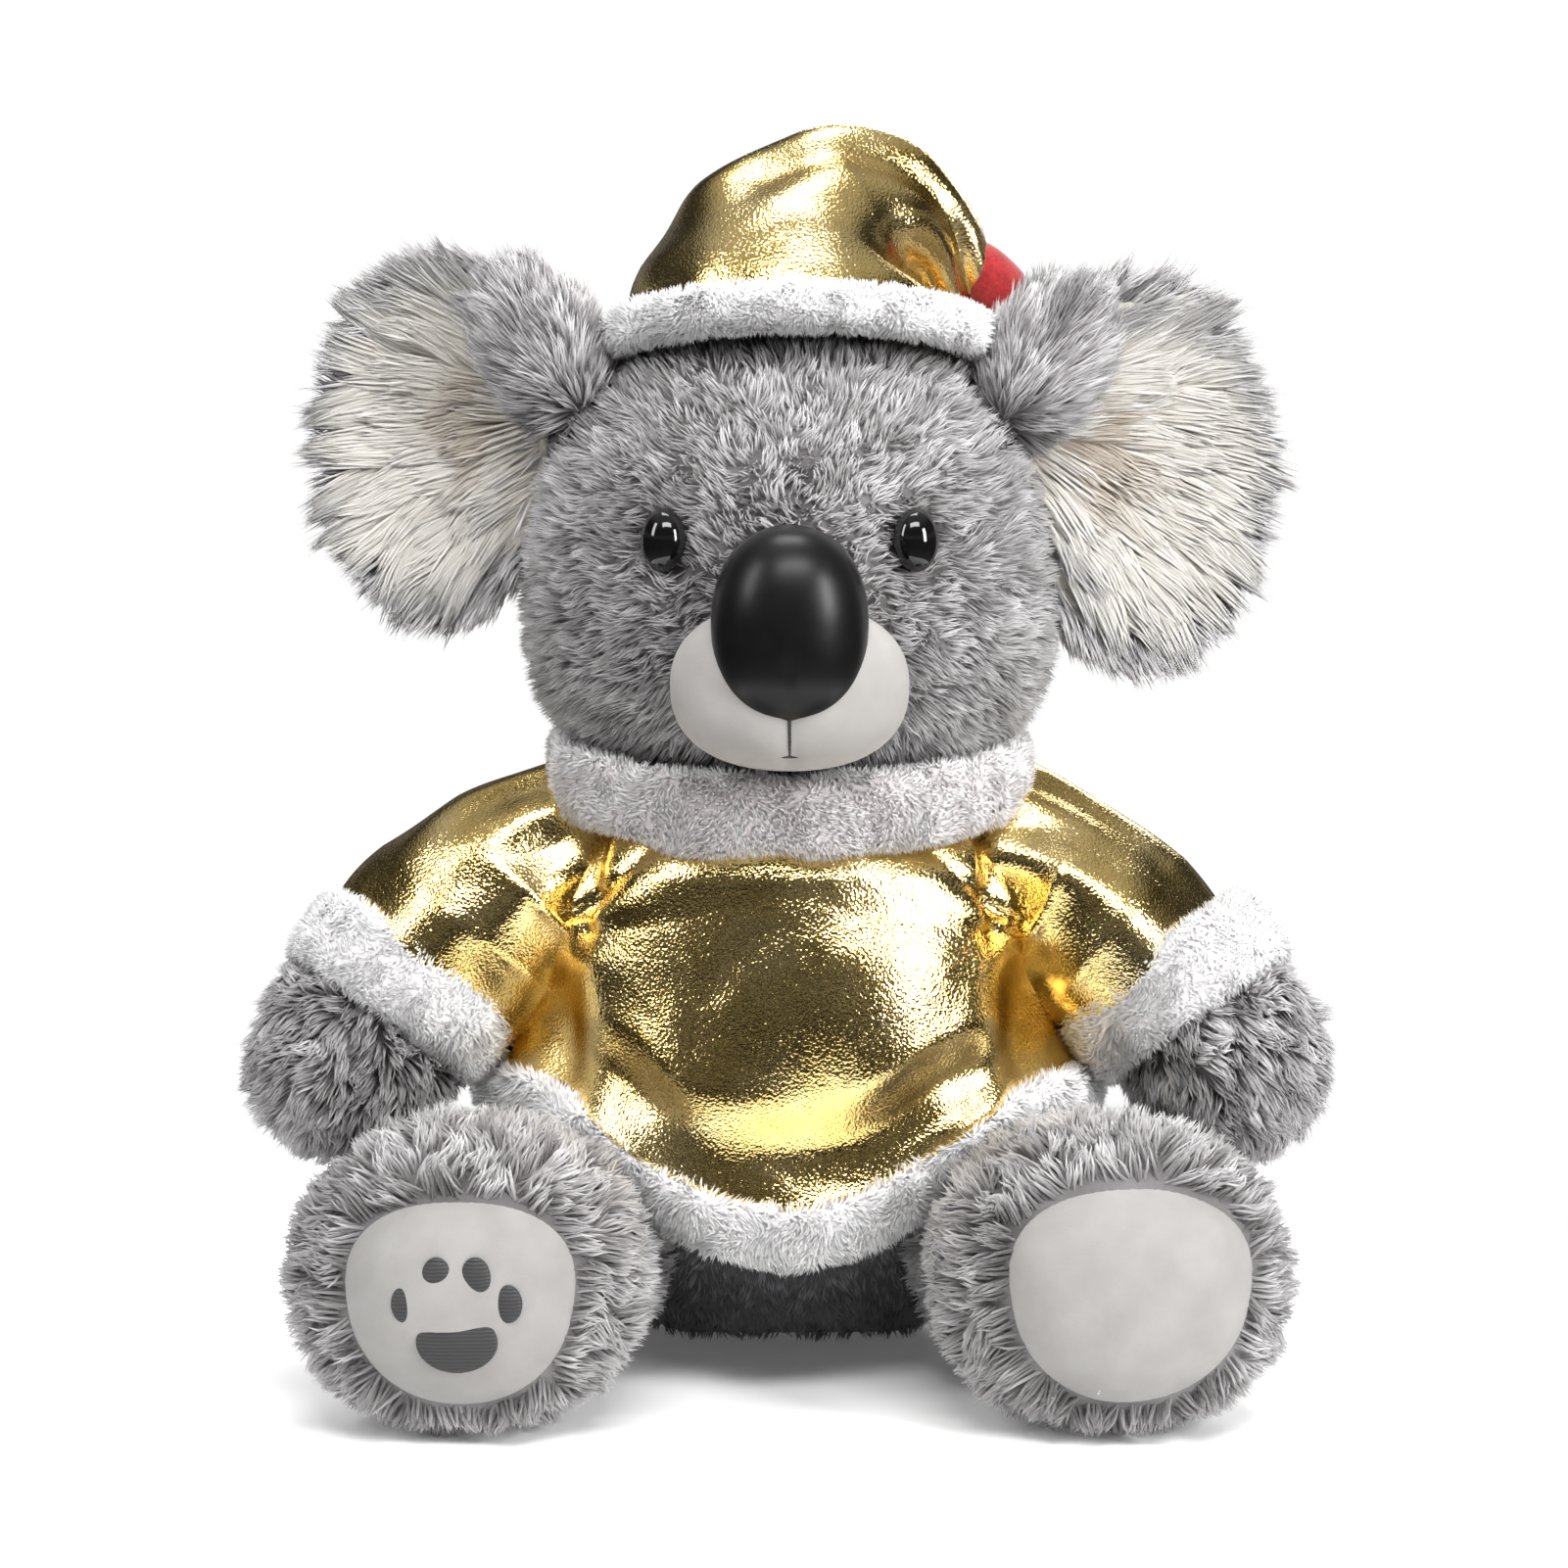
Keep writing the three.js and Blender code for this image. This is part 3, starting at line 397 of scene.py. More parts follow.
    # Each hair is lit much as the pile around it, so the pile reads soft
    soft = unit(normal[:, None] + HAIR_FACING * np.stack(facing, axis=1))
    obj.data.normals_split_custom_set_from_vertices(np.vstack([normals, soft.reshape(-1, 3)]))
    return obj


# Materials

def new_material(name):
    material = bpy.data.materials.new(name)
    material.use_nodes = True
    nodes = material.node_tree.nodes
    return material, nodes, material.node_tree.links, nodes["Principled BSDF"]


def set_inputs(node, values):
    for name, value in values.items():
        node.inputs[name].default_value = value


def texture(nodes, links, kind, values):
    """A texture over the piece's own coordinates, whose scale counts by the metre."""
    coordinates = nodes.new("ShaderNodeTexCoord")
    node = nodes.new(kind)
    set_inputs(node, values)
    links.new(coordinates.outputs["Object"], node.inputs["Vector"])
    return node


def noise(nodes, links, scale, detail=2.0, distortion=0.0):
    values = {"Scale": scale, "Detail": detail, "Distortion": distortion}
    return texture(nodes, links, "ShaderNodeTexNoise", values).outputs["Fac"]


def map_range(nodes, links, source, values, kind="LINEAR"):
    node = nodes.new("ShaderNodeMapRange")
    node.interpolation_type = kind
    set_inputs(node, values)
    links.new(source, node.inputs["Value"])
    return node.outputs["Result"]


def bump(nodes, links, height, strength, distance, under=None):
    """The normal of a relief, whose distance is in metres, laid over another one."""
    node = nodes.new("ShaderNodeBump")
    set_inputs(node, {"Strength": strength, "Distance": distance})
    links.new(height, node.inputs["Height"])
    if under is not None:
        links.new(under, node.inputs["Normal"])
    return node.outputs["Normal"]


def ramp(nodes, links, source, stops):
    node = nodes.new("ShaderNodeValToRGB")
    while len(node.color_ramp.elements) < len(stops):
        node.color_ramp.elements.new(0.5)
    for element, (place, colour) in zip(node.color_ramp.elements, stops):
        element.position = place
        element.color = (*colour, 1.0)
    links.new(source, node.inputs["Fac"])
    return node.outputs["Color"]


def pile_material(name, roots, tips, turn=(0.15, 0.85), scatter=0.0):
    """Pile: roots and tips are colour ramps over the tone, mixed along the height of the hair."""
    material, nodes, links, shader = new_material(name)
    uv = nodes.new("ShaderNodeUVMap")
    uv.uv_map = "OFBake"
    split = nodes.new("ShaderNodeSeparateXYZ")
    links.new(uv.outputs["UV"], split.inputs["Vector"])
    height = map_range(
        nodes, links, split.outputs["Y"], {"From Min": turn[0], "From Max": turn[1]}, "SMOOTHSTEP")
    blend = nodes.new("ShaderNodeMix")
    blend.data_type = "RGBA"
    links.new(height, blend.inputs["Factor"])
    links.new(ramp(nodes, links, split.outputs["X"], roots), blend.inputs["A"])
    links.new(ramp(nodes, links, split.outputs["X"], tips), blend.inputs["B"])
    links.new(blend.outputs["Result"], shader.inputs["Base Color"])
    set_inputs(shader, {
        "Roughness": 0.85, "Sheen Weight": 0.35, "Sheen Roughness": 0.5, "Specular IOR Level": 0.2,
        "Subsurface Weight": scatter, "Subsurface Radius": (1.0, 0.95, 0.95), "Subsurface Scale": 0.003,
    })
    return material


grey_pile = pile_material(
    "Frosted grey plush",
    [(0.0, (0.07, 0.063, 0.064)), (0.5, (0.16, 0.15, 0.152)), (1.0, (0.28, 0.267, 0.27))],
    [(0.0, (0.15, 0.14, 0.141)), (0.3, (0.29, 0.276, 0.279)), (0.6, (0.43, 0.414, 0.418)),
     (1.0, (0.68, 0.66, 0.665))],
    scatter=0.3,
)
dark_pile = pile_material(
    "Dark seat plush",
    [(0.0, (0.02, 0.02, 0.022)), (1.0, (0.05, 0.048, 0.052))],
    [(0.0, (0.05, 0.05, 0.053)), (0.6, (0.1, 0.095, 0.1)), (1.0, (0.2, 0.19, 0.2))],
)
rim_pile = pile_material(
    "Grey ear pile",
    [(0.0, (0.11, 0.103, 0.106)), (1.0, (0.3, 0.288, 0.294))],
    [(0.0, (0.14, 0.133, 0.137)), (0.4, (0.38, 0.364, 0.37)), (0.75, (0.6, 0.58, 0.59)),
     (1.0, (0.78, 0.76, 0.77))],
)
# The top of the tone range is a darker beige: painted shade for the ear's hollow
ear_pile = pile_material(
    "Cream ear fluff",
    [(0.0, (0.3, 0.275, 0.255)), (0.4, (0.58, 0.53, 0.465)), (0.7, (0.68, 0.63, 0.555)),
     (0.95, (0.42, 0.35, 0.28))],
    [(0.0, (0.25, 0.24, 0.24)), (0.25, (0.4, 0.388, 0.385)), (0.5, (0.66, 0.63, 0.59)),
     (0.7, (0.76, 0.725, 0.67)), (0.95, (0.5, 0.43, 0.355))],
    turn=(0.0, 0.75), scatter=0.4,
)
# The lowest tones are darker and pinker: painted shade, used for the collar under the head
trim_pile = pile_material(
    "White trim plush",
    [(0.0, (0.6, 0.54, 0.545)), (0.35, (0.8, 0.775, 0.78)), (1.0, (0.88, 0.86, 0.865))],
    [(0.0, (0.72, 0.655, 0.66)), (0.35, (0.95, 0.93, 0.935)), (1.0, (0.99, 0.98, 0.98))],
    turn=(0.0, 0.8), scatter=0.7,
)


def gold_foil():
    """Foil on a stretch cloth: a bright mirror, uneven in broad waves and broken up by a fine sparkle."""
    material, nodes, links, shader = new_material("Gold foil jersey")
    set_inputs(shader, {"Metallic": 1.0})
    patch = noise(nodes, links, 60.0, 5.0)
    colour = ramp(nodes, links, patch, [
        (0.3, (0.76, 0.53, 0.17)), (0.5, (0.83, 0.62, 0.24)), (0.72, (0.9, 0.71, 0.34)),
    ])
    links.new(colour, shader.inputs["Base Color"])
    rough = map_range(nodes, links, patch, {"To Min": 0.09, "To Max": 0.2})
    links.new(rough, shader.inputs["Roughness"])
    broad = bump(nodes, links, noise(nodes, links, 34.0, 1.5, 0.3), 0.5, 0.006)
    fine = bump(nodes, links, noise(nodes, links, 1600.0, 1.0), 0.75, 0.00022, broad)
    links.new(fine, shader.inputs["Normal"])
    return material


def mottled(name, patch, stops, grain, relief, values):
    """Mottled cloth or plastic: noise settings for the patches and the grain, and the grain's relief."""
    material, nodes, links, shader = new_material(name)
    links.new(ramp(nodes, links, noise(nodes, links, *patch), stops), shader.inputs["Base Color"])
    set_inputs(shader, values)
    links.new(bump(nodes, links, noise(nodes, links, grain, 3.0), *relief), shader.inputs["Normal"])
    return material


def velour(name, dark, light):
    return mottled(name, (120.0, 6.0), [(0.3, dark), (0.7, light)], 2600.0, (0.35, 0.00012), {
        "Roughness": 0.8, "Specular IOR Level": 0.2, "Sheen Weight": 0.2, "Sheen Roughness": 0.4,
    })


def moulded(name, colour, roughness, shine, grain):
    stops = [(0.3, tuple(c * 0.8 for c in colour)), (0.7, tuple(c * 1.25 for c in colour))]
    values = {"Roughness": roughness, "Specular IOR Level": shine}
    return mottled(name, (220.0,), stops, 900.0, (grain, 0.0001), values)


def felt(name, dark, light):
    stops = [(0.35, dark), (0.65, light)]
    values = {"Roughness": 0.95, "Sheen Weight": 0.4}
    return mottled(name, (700.0, 5.0, 1.5), stops, 1500.0, (0.5, 0.0002), values)


def thread(name, colour):
    """Satin stitches: fine parallel threads across the piece."""
    material, nodes, links, shader = new_material(name)
    wave = texture(nodes, links, "ShaderNodeTexWave", {"Scale": 420.0, "Distortion": 1.2})
    wave.bands_direction = "Z"
    stops = [(0.2, tuple(c * 0.5 for c in colour)), (0.8, colour)]
    links.new(ramp(nodes, links, wave.outputs["Fac"], stops), shader.inputs["Base Color"])
    set_inputs(shader, {"Roughness": 0.5})
    links.new(bump(nodes, links, wave.outputs["Fac"], 0.6, 0.0002), shader.inputs["Normal"])
    return material


foil = gold_foil()
cream_velour = velour("Off-white velour", (0.36, 0.345, 0.33), (0.41, 0.395, 0.38))
# Painted shade: the soles take a darker copy of the off-white velour, as they face the lights more
shaded_sole_velour = velour("Shaded sole velour", (0.275, 0.266, 0.258), (0.32, 0.31, 0.302))
nose_plastic = moulded("Satin black nose", (0.005, 0.005, 0.0055), 0.34, 0.22, 0.1)
eye_plastic = moulded("Gloss black eye", (0.005, 0.005, 0.005), 0.07, 0.45, 0.02)
washer_plastic = moulded("Natural washer plastic", (0.62, 0.62, 0.6), 0.5, 0.5, 0.3)
red_felt = felt("Red felt", (0.216, 0.005, 0.007), (0.372, 0.012, 0.015))
black_thread = thread("Black thread", (0.03, 0.03, 0.032))
pale_thread = thread("Pale seam thread", (0.6, 0.58, 0.57))


def dressed(obj, material):
    obj.data.materials.clear()
    obj.data.materials.append(material)
    return obj


# Forms

def ball(centre, half, u, v, fullness=(2.0, 2.0), under=None):
    turn = 2 * math.pi * u
    t = -np.cos(math.pi * v)
    wide = oval_share(t, fullness)
    tall = np.where(t > 0, half[2], under if under else half[2])
    return np.stack([
        centre[0] + np.cos(turn) * wide * half[0],
        centre[1] + np.sin(turn) * wide * half[1],
        centre[2] + t * tall,
    ], axis=1)


def face_depth(x, up):
    """The front of the head at a place across and up from its middle."""
    t = up / (HEAD["rise"] if up > 0 else HEAD["fall"])
    wide = float(oval_share(np.array([t]), HEAD_FULLNESS)[0])
    return -HEAD["half_depth"] * math.sqrt(max(0.0, wide**2 - (x / HEAD["half_width"]) ** 2))


def face_normal(x, up):
    step = 0.3
    slope_x = (face_depth(x + step, up) - face_depth(x - step, up)) / (2 * step)
    slope_z = (face_depth(x, up + step) - face_depth(x, up - step)) / (2 * step)
    return unit(np.array([slope_x, -1.0, slope_z]))


def inside(points, centre, half, margin=0.0):
    return (((points - np.array(centre)) / (np.array(half) + margin)) ** 2).sum(1) < 1


muzzle_centre = (0.0, face_depth(0, MUZZLE["up"]), HEAD["centre_z"] + MUZZLE["up"])
muzzle_half = (MUZZLE["half_width"], MUZZLE["half_depth"], MUZZLE["half_height"])
nose_centre = (0.0, face_depth(0, NOSE["up"]) - NOSE["proud"], HEAD["centre_z"] + NOSE["up"])
nose_half = (NOSE["half_width"], NOSE["half_depth"], NOSE["half_height"])
# The room that an eye takes in the face, where no pile grows
eye_half = (EYE["half_width"], 9.0, EYE["half_height"])
eye_centres = {
    name: (side * EYE["across"], face_depth(EYE["across"], EYE["up"]), HEAD["centre_z"] + EYE["up"])
    for name, side in SIDES.items()
}


# Head
HEAD_SKIN = 2.4  # from the tips of the pile down to the fabric
HEAD_PILE_TOP = 242.0  # the hat hides the crown of the head above it


def head_form(u, v):
    points = ball(
        (0.0, 0.0, HEAD["centre_z"]),
        (HEAD["half_width"] - HEAD_SKIN, HEAD["half_depth"] - HEAD_SKIN, HEAD["rise"] - HEAD_SKIN),
        u, v, HEAD_FULLNESS, HEAD["fall"] - HEAD_SKIN,
    )
    front = smooth(-points[:, 1], 10.0, 45.0)
    for centre in eye_centres.values():
        away = np.hypot(points[:, 0] - centre[0], points[:, 2] - centre[2])
        points[:, 1] += 1.6 * bell(away / 8.0) * front
    points += (0.5 * ripple(points, 26.0, 5))[:, None] * unit(points - (0, 0, HEAD["centre_z"]))
    points[:, 2] = np.maximum(points[:, 2], TORSO["height"] + 0.6)
    return points


def head_keep(p, n):
    off = inside(p, muzzle_centre, muzzle_half, -0.4) | inside(p, nose_centre, nose_half, 0.0)
    for centre in eye_centres.values():
        off |= inside(p, centre, eye_half, 0.2)
    off |= p[:, 2] < TORSO["height"] + 3.0
    off |= p[:, 2] > HEAD_PILE_TOP
    return np.where(off, 0.0, 1.0)


def head_comb(p, n):
    """The pile lies outwards from the nose and down the sides."""
    away = unit(p - np.array(nose_centre) - (0, 20, 0))
    return 0.8 * away + (0, 0, -0.25)


def head_tone(p):
    # Painted shade: the pile on the left cheek is darkened, as the light falls from the right
    left_cheek_shade = bell((p[:, 0] + 42.0) / 16.0, (p[:, 2] - 152.0) / 15.0)
    tone = 0.16 * ripple(p, 12.0, 21) + 0.14 * ripple(p, 34.0, 22) - 0.14 * left_cheek_shade
    # Painted shade: the pile is darkened in a ring round each eye, the muzzle and the nose
    shaded = [(centre, eye_half, 0.3) for centre in eye_centres.values()]
    shaded += [(muzzle_centre, muzzle_half, 0.2), (nose_centre, nose_half, 0.14)]
    for centre, half, depth in shaded:
        share = np.sqrt((((p - np.array(centre)) / np.array(half)) ** 2).sum(1))
        tone -= depth * bell((share - 1) * min(half) / 2.6)
    return tone


head = furred(
    wrapped("head", 104, 68, head_form), grey_pile, count=43000, length=4.6, width=0.31, seed=11,
    lift=0.9, lean=0.5, comb=head_comb, keep=head_keep, tone=head_tone, clump=1.9, gather=0.55, swirl=0.8,
    density=lambda p: 0.55 + 0.45 * smooth(-p[:, 1], -20, 10),
)
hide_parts("head_skin", "head_fill")
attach(head, "head")


def muzzle_form(u, v):
    points = ball(muzzle_centre, muzzle_half, u, v, (2.3, 2.3))
    groove = bell(points[:, 0] / 1.6) * smooth(-points[:, 1], 50.0, 58.0)
    points[:, 1] += 0.9 * groove * smooth(-points[:, 2], -170.0, -150.0)
    return points


muzzle = dressed(wrapped("muzzle_velour", 72, 48, muzzle_form), cream_velour)
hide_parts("muzzle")
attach(muzzle, "head")


def nose_form(u, v):
    points = ball(nose_centre, nose_half, u, v, (2.2, 2.4))
    rim = bell((points[:, 1] - nose_centre[1] - 3.0) / 1.6)
    points[:, [0, 2]] += (points[:, [0, 2]] - np.array(nose_centre)[[0, 2]]) * 0.03 * rim[:, None]
    dent = bell(points[:, 0] / 0.7) * bell((points[:, 2] - nose_centre[2] + 9.0) / 4.5)
    points[:, 1] += 0.45 * dent * (points[:, 1] < nose_centre[1])
    return points


nose = dressed(wrapped("nose_shell", 96, 96, nose_form), nose_plastic)
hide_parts("nose")
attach(nose, "head")


def spline(knots, s):
    """Catmull-Rom through the knots, s from 0 to 1."""
    knots = np.asarray(knots, float)
    n = len(knots) - 1
    padded_knots = np.vstack([2 * knots[0] - knots[1], knots, 2 * knots[-1] - knots[-2]])
    x = np.clip(np.asarray(s, float), 0, 1) * n
    k = np.minimum(x.astype(int), n - 1)
    f = (x - k)[:, None]
    p0, p1, p2, p3 = (padded_knots[k + i] for i in range(4))
    return 0.5 * (2 * p1 + (p2 - p0) * f + (2 * p0 - 5 * p1 + 4 * p2 - p3) * f**2
                  + (3 * p1 - p0 - 3 * p2 + p3) * f**3)


def by_length(knots, s):
    """Places at shares of a smooth line's length."""
    steps = np.linspace(0, 1, 400)
    fine = spline(knots, steps)
    run = np.concatenate([[0], np.cumsum(np.linalg.norm(np.diff(fine, axis=0), axis=1))])
    return spline(knots, np.interp(np.clip(s, 0, 1) * run[-1], run, steps))


def tube_form(route, u, v, wide, around=(0, 1, 0)):
    """A tube of u round and v along a smooth route, in design millimetres, wide as given at each place."""
    step = 4e-3
    ahead = unit(by_length(route, v + step) - by_length(route, v - step))
    first = unit(np.cross(ahead, np.broadcast_to(around, ahead.shape)))
    second = np.cross(ahead, first)
    turn = 2 * math.pi * u
    spoke = first * np.cos(turn)[:, None] + second * np.sin(turn)[:, None]
    return by_length(route, v) + spoke * wide[:, None]


# A thread reaches its full radius this many times sooner than its length
THREAD_TAPER = 40


def stitch_line(name, route, radius, material, body, around=(0, 1, 0)):
    """A round thread along a route, closed at its ends."""
    def form(u, v):
        from_end = np.minimum(v, 1 - v)
        return tube_form(route, u, v, radius * np.minimum(1.0, from_end * THREAD_TAPER), around)
    line = dressed(wrapped(name, 10, 60, form), material)
    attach(line, body)


def muzzle_front(x, z, proud=0.1):
    share = 1 - (x / muzzle_half[0]) ** 2 - (abs(z - muzzle_centre[2]) / muzzle_half[2]) ** 2.3
    return (x, muzzle_centre[1] - muzzle_half[1] * math.sqrt(max(0.02, share)) - proud, z)


stitch_line("mouth_line", [muzzle_front(0, z, -0.5) for z in (153.5, 151, 148.5, 146, 143.6)], 0.32,
            black_thread, "head", (1, 0, 0))
stitch_line("mouth_tick", [
    muzzle_front(x, 143.9 + 0.02 * x * x, -0.1) for x in (-3.2, -1.6, 0, 1.6, 3.2)
], 0.28, black_thread, "head")

# Eyes: a glossy dome in a narrow moulded rim
for name, side in SIDES.items():
    facing = face_normal(side * EYE["across"], EYE["up"])
    turn = np.array(Vector((0, -1, 0)).rotation_difference(Vector(facing)).to_matrix())
    centre = np.array(eye_centres[name])

    def eye_form(u, v):
        local = ball((0, 0, 0), (EYE["half_width"], EYE["dome"] + 0.6, EYE["half_height"]), u, v)
        rim = bell(local[:, 1] / 0.5)
        local[:, [0, 2]] *= (1 + 0.05 * rim)[:, None]
        return centre + local @ turn.T

    eye = dressed(wrapped(f"eye_{name}_dome", 48, 40, eye_form), eye_plastic)
    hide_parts(f"eye_{name}")
    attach(eye, "head")

# Ears: a cupped cushion folded at its root, grey behind, round the rim and over the fold, pale in front
def in_head(p, margin):
    """Whether each place lies in the head, drawn in by a margin."""
    up = p[:, 2] - HEAD["centre_z"]
    t = np.clip(np.where(up > 0, up / HEAD["rise"], up / HEAD["fall"]), -1, 1)
    wide = oval_share(t, HEAD_FULLNESS)
    across = p[:, 0] / (HEAD["half_width"] * wide - margin)
    ahead = p[:, 1] / (HEAD["half_depth"] * wide - margin)
    return (across ** 2 + ahead ** 2 < 1) & (np.abs(t) < 1)


for name, side in SIDES.items():
    spec = EAR[name]
    middle = np.array(spec["centre"])
    ear_turn = turn_matrix("y", side * spec["lean"]) @ turn_matrix("z", side * spec["yaw"])
    lobe_turn = turn_matrix("y", side * spec["lobe_lean"])
    gather_point = np.array(spec["gather"])

    def dish(u, v, front):
        turn, r = 2 * math.pi * u, np.sin(math.pi * v)
        swell = np.cos(math.pi * v)
        hollow = EAR_DEPTH["cup"] * (1 - r**2)
        if front:
            scale = EAR_FRONT_SHARE
            depth = hollow - EAR_DEPTH["front_set"] - np.where(swell > 0, EAR_DEPTH["front"] * swell, 0)
        else:
            scale = 1.0
            depth = hollow + np.where(swell < 0, -EAR_DEPTH["back"] * swell, EAR_DEPTH["back_set"])
        inner_foot = -0.45 * side * np.cos(turn) - 0.89 * np.sin(turn)
        scale = scale * (1 + 0.07 * smooth(inner_foot, 0.3, 1.0))
        local = np.stack([
            np.cos(turn) * r * spec["half"][0] * scale, depth - EAR_DEPTH["cup"],
            np.sin(turn) * r * spec["half"][1] * scale,
        ], axis=1)
        return middle + local @ ear_turn.T

    def lobe(u, v):
        return np.array(spec["lobe"]) + ball((0, 0, 0), EAR_LOBE, u, v) @ lobe_turn.T

    def fan(p, n):
        """Away from the gathered root of the ear, drooping at the foot."""
        away = unit((p - gather_point) * (1, 0.25, 1))
        low = smooth(gather_point[2] - p[:, 2], 5, 45)[:, None]
        return away + low * (0.1 * side, 0, -0.5)

    def radius_share(p):
        local = (p - middle) @ ear_turn
        return np.hypot(local[:, 0] / spec["half"][0], local[:, 2] / spec["half"][1])

    def on_lobe(p):
        return inside(p, spec["lobe"], EAR_LOBE, 2.5)

    def back_keep(p, n):
        grown = (radius_share(p) > 0.86) | (n[:, 1] > 0.1) | on_lobe(p)
        return np.where(grown & ~in_head(p, 1.0) & (np.abs(p[:, 0]) > 36), 1.0, 0.0)

    def rim_tone(p):
        return 0.2 * ripple(p, 8.0, 41) + 0.05 - 0.16 * on_lobe(p)

    back = furred(
        joined(f"ear_{name}_back", wrapped("ear_dish", 64, 40, lambda u, v: dish(u, v, front=False)),
               wrapped("ear_lobe", 32, 24, lobe)),
        rim_pile, count=10700, length=13.0, width=0.34, seed=31 + side,
        lift=0.35, lean=1.0, comb=fan, joints=1, droop=0.04, clump=1.7, gather=0.62, curl=0.2, swirl=0.3,
        scatter=0.1, keep=back_keep, tone=rim_tone,
        density=lambda p: 0.4 + 2.0 * smooth(radius_share(p), 0.8, 0.97) + 2.6 * on_lobe(p),
        scale=lambda p, n: 0.85 - 0.05 * on_lobe(p),
    )

    def fluff_tone(p):
        streak = ripple(p, 15.0, 61 + side)
        top = smooth(p[:, 2] - middle[2], 8.0, 34.0)
        edge = smooth(radius_share(p) + 0.16 * top, 0.6, 0.92)
        inward, up = -side * (p[:, 0] - middle[0]), p[:, 2] - middle[2]
        # Painted shade: the fluff turns a darker beige in the hollow of the ear near the head
        hollow = bell((inward - 14.0) / 13.0, (up - 3.0) / 11.0)
        return 0.05 * streak + 0.14 + 0.44 * hollow - edge * (0.44 + 0.12 * ripple(p, 9.0, 63))

    front = furred(
        wrapped(f"ear_{name}_front", 56, 32, lambda u, v: dish(u, v, front=True)), ear_pile,
        count=7600, length=19.0, width=0.42, seed=51 + side,
        lift=0.2, lean=1.0, comb=fan, joints=2, droop=0.06, clump=4.6, gather=0.82, curl=0.14, swirl=0.32,
        scatter=0.06, hair_noise=0.02, clump_noise=0.05,
        keep=lambda p, n: np.where((n[:, 1] < -0.1) & ~in_head(p, 2.0) & (radius_share(p) < 0.87), 1.0, 0.0),
        scale=lambda p, n: 0.7 + 0.2 * smooth(radius_share(p), 0.3, 0.8),
        tone=fluff_tone,
    )
    for piece, node, slot_name in (
        (back, f"ear_back_{name}", "grey_plush"), (front, f"ear_front_{name}", "ear_fluff"),
    ):
        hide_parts(node)
        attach(piece, f"ear_{name}")


# Torso, seen only below the hem
def torso_share(z):
    h = np.clip(z / TORSO["height"], 0, 1)
    return np.interp(h, TORSO_SHARES[1:-1, 1], TORSO_SHARES[1:-1, 0])


def torso_form(u, v):
    s = np.interp(v, np.linspace(0, 1, len(TORSO_SHARES)), np.arange(len(TORSO_SHARES)))
    rows = spline(TORSO_SHARES, s / (len(TORSO_SHARES) - 1))
    turn = 2 * math.pi * u
    wide = np.clip(rows[:, 0], 0, 1.01)
    skin = 1.6 * smooth(rows[:, 0], 0.5, 0.9)
    z = np.clip(rows[:, 1], 0, 1) * TORSO["height"]
    bowl = 13.0 + 7.0 * np.minimum((np.cos(turn) * wide / 0.55) ** 2, 1.3)
    lifted = bowl * smooth(-np.sin(turn) * wide, -0.1, 0.7) * (1 - smooth(z, 4.0, 44.0))
    return np.stack([
        np.cos(turn) * (wide * TORSO["half_width"] - skin),
        TORSO["centre_y"] + np.sin(turn) * (wide * TORSO["half_depth"] - skin),
        z + lifted,
    ], axis=1)


def hanging(weight):
    """A comb that lets the pile lie downwards."""
    return lambda p, n: np.array([0, 0, -weight]) + 0 * p


def below_hem(p, n):
    seam = np.abs(p[:, 0]) < 0.5
    return np.where((p[:, 2] > 2.0) & (p[:, 2] < 62.0) & ~seam, 1.0, 0.0)


torso = furred(
    wrapped("torso", 72, 60, torso_form), dark_pile, count=12500, length=3.2, width=0.36, seed=71,
    lift=0.7, lean=0.8, comb=hanging(1.0), keep=below_hem, clump=1.8,
)
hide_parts("torso_skin", "torso_fill", "pellet_bag")
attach(torso, "torso")

# Arms and paws
for name, side in SIDES.items():
    route = np.array(ARM_ROUTE) * (side, 1, 1)
    palm = np.array(PAW["centre"]) * (side, 1, 1)
    away = unit(route[3] - route[2])
    arm_path = np.vstack([route, (palm + away * 18.5)[None]])

    def arm_form(u, v):
        points = tube_form(arm_path, u, v, widths(v, ARM_WIDTHS))
        middle = by_length(arm_path, v)
        bumps = ripple(points, 15.0, 81 + side) * smooth(v, 0.6, 0.75)
        thumb = bell((points[:, 0] - palm[0] + side * 4.0) / 1.8) * smooth(-points[:, 1], 12.0, 24.0)
        return points + unit(points - middle) * (1.1 * bumps - 2.6 * thumb)[:, None]

    wrist = by_length(route, np.array([0.7]))[0]
    arm = furred(
        wrapped(f"arm_{name}", 64, 72, arm_form), grey_pile,
        count=9800, length=6.6, width=0.35, seed=91 + side,
        lift=0.6, lean=0.9, joints=1, clump=2.5, gather=0.75, droop=0.08,
        comb=lambda p, n: 0.8 * away + unit(p - palm) * 0.4,
        keep=lambda p, n: np.where((p - wrist) @ away > -2.0, 1.0, 0.0),
        tone=lambda p: 0.16 * ripple(p, 11.0, 25) - 0.1,
    )
    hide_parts(f"arm_skin_{name}", f"arm_fill_{name}")
    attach(arm, f"arm_{name}")

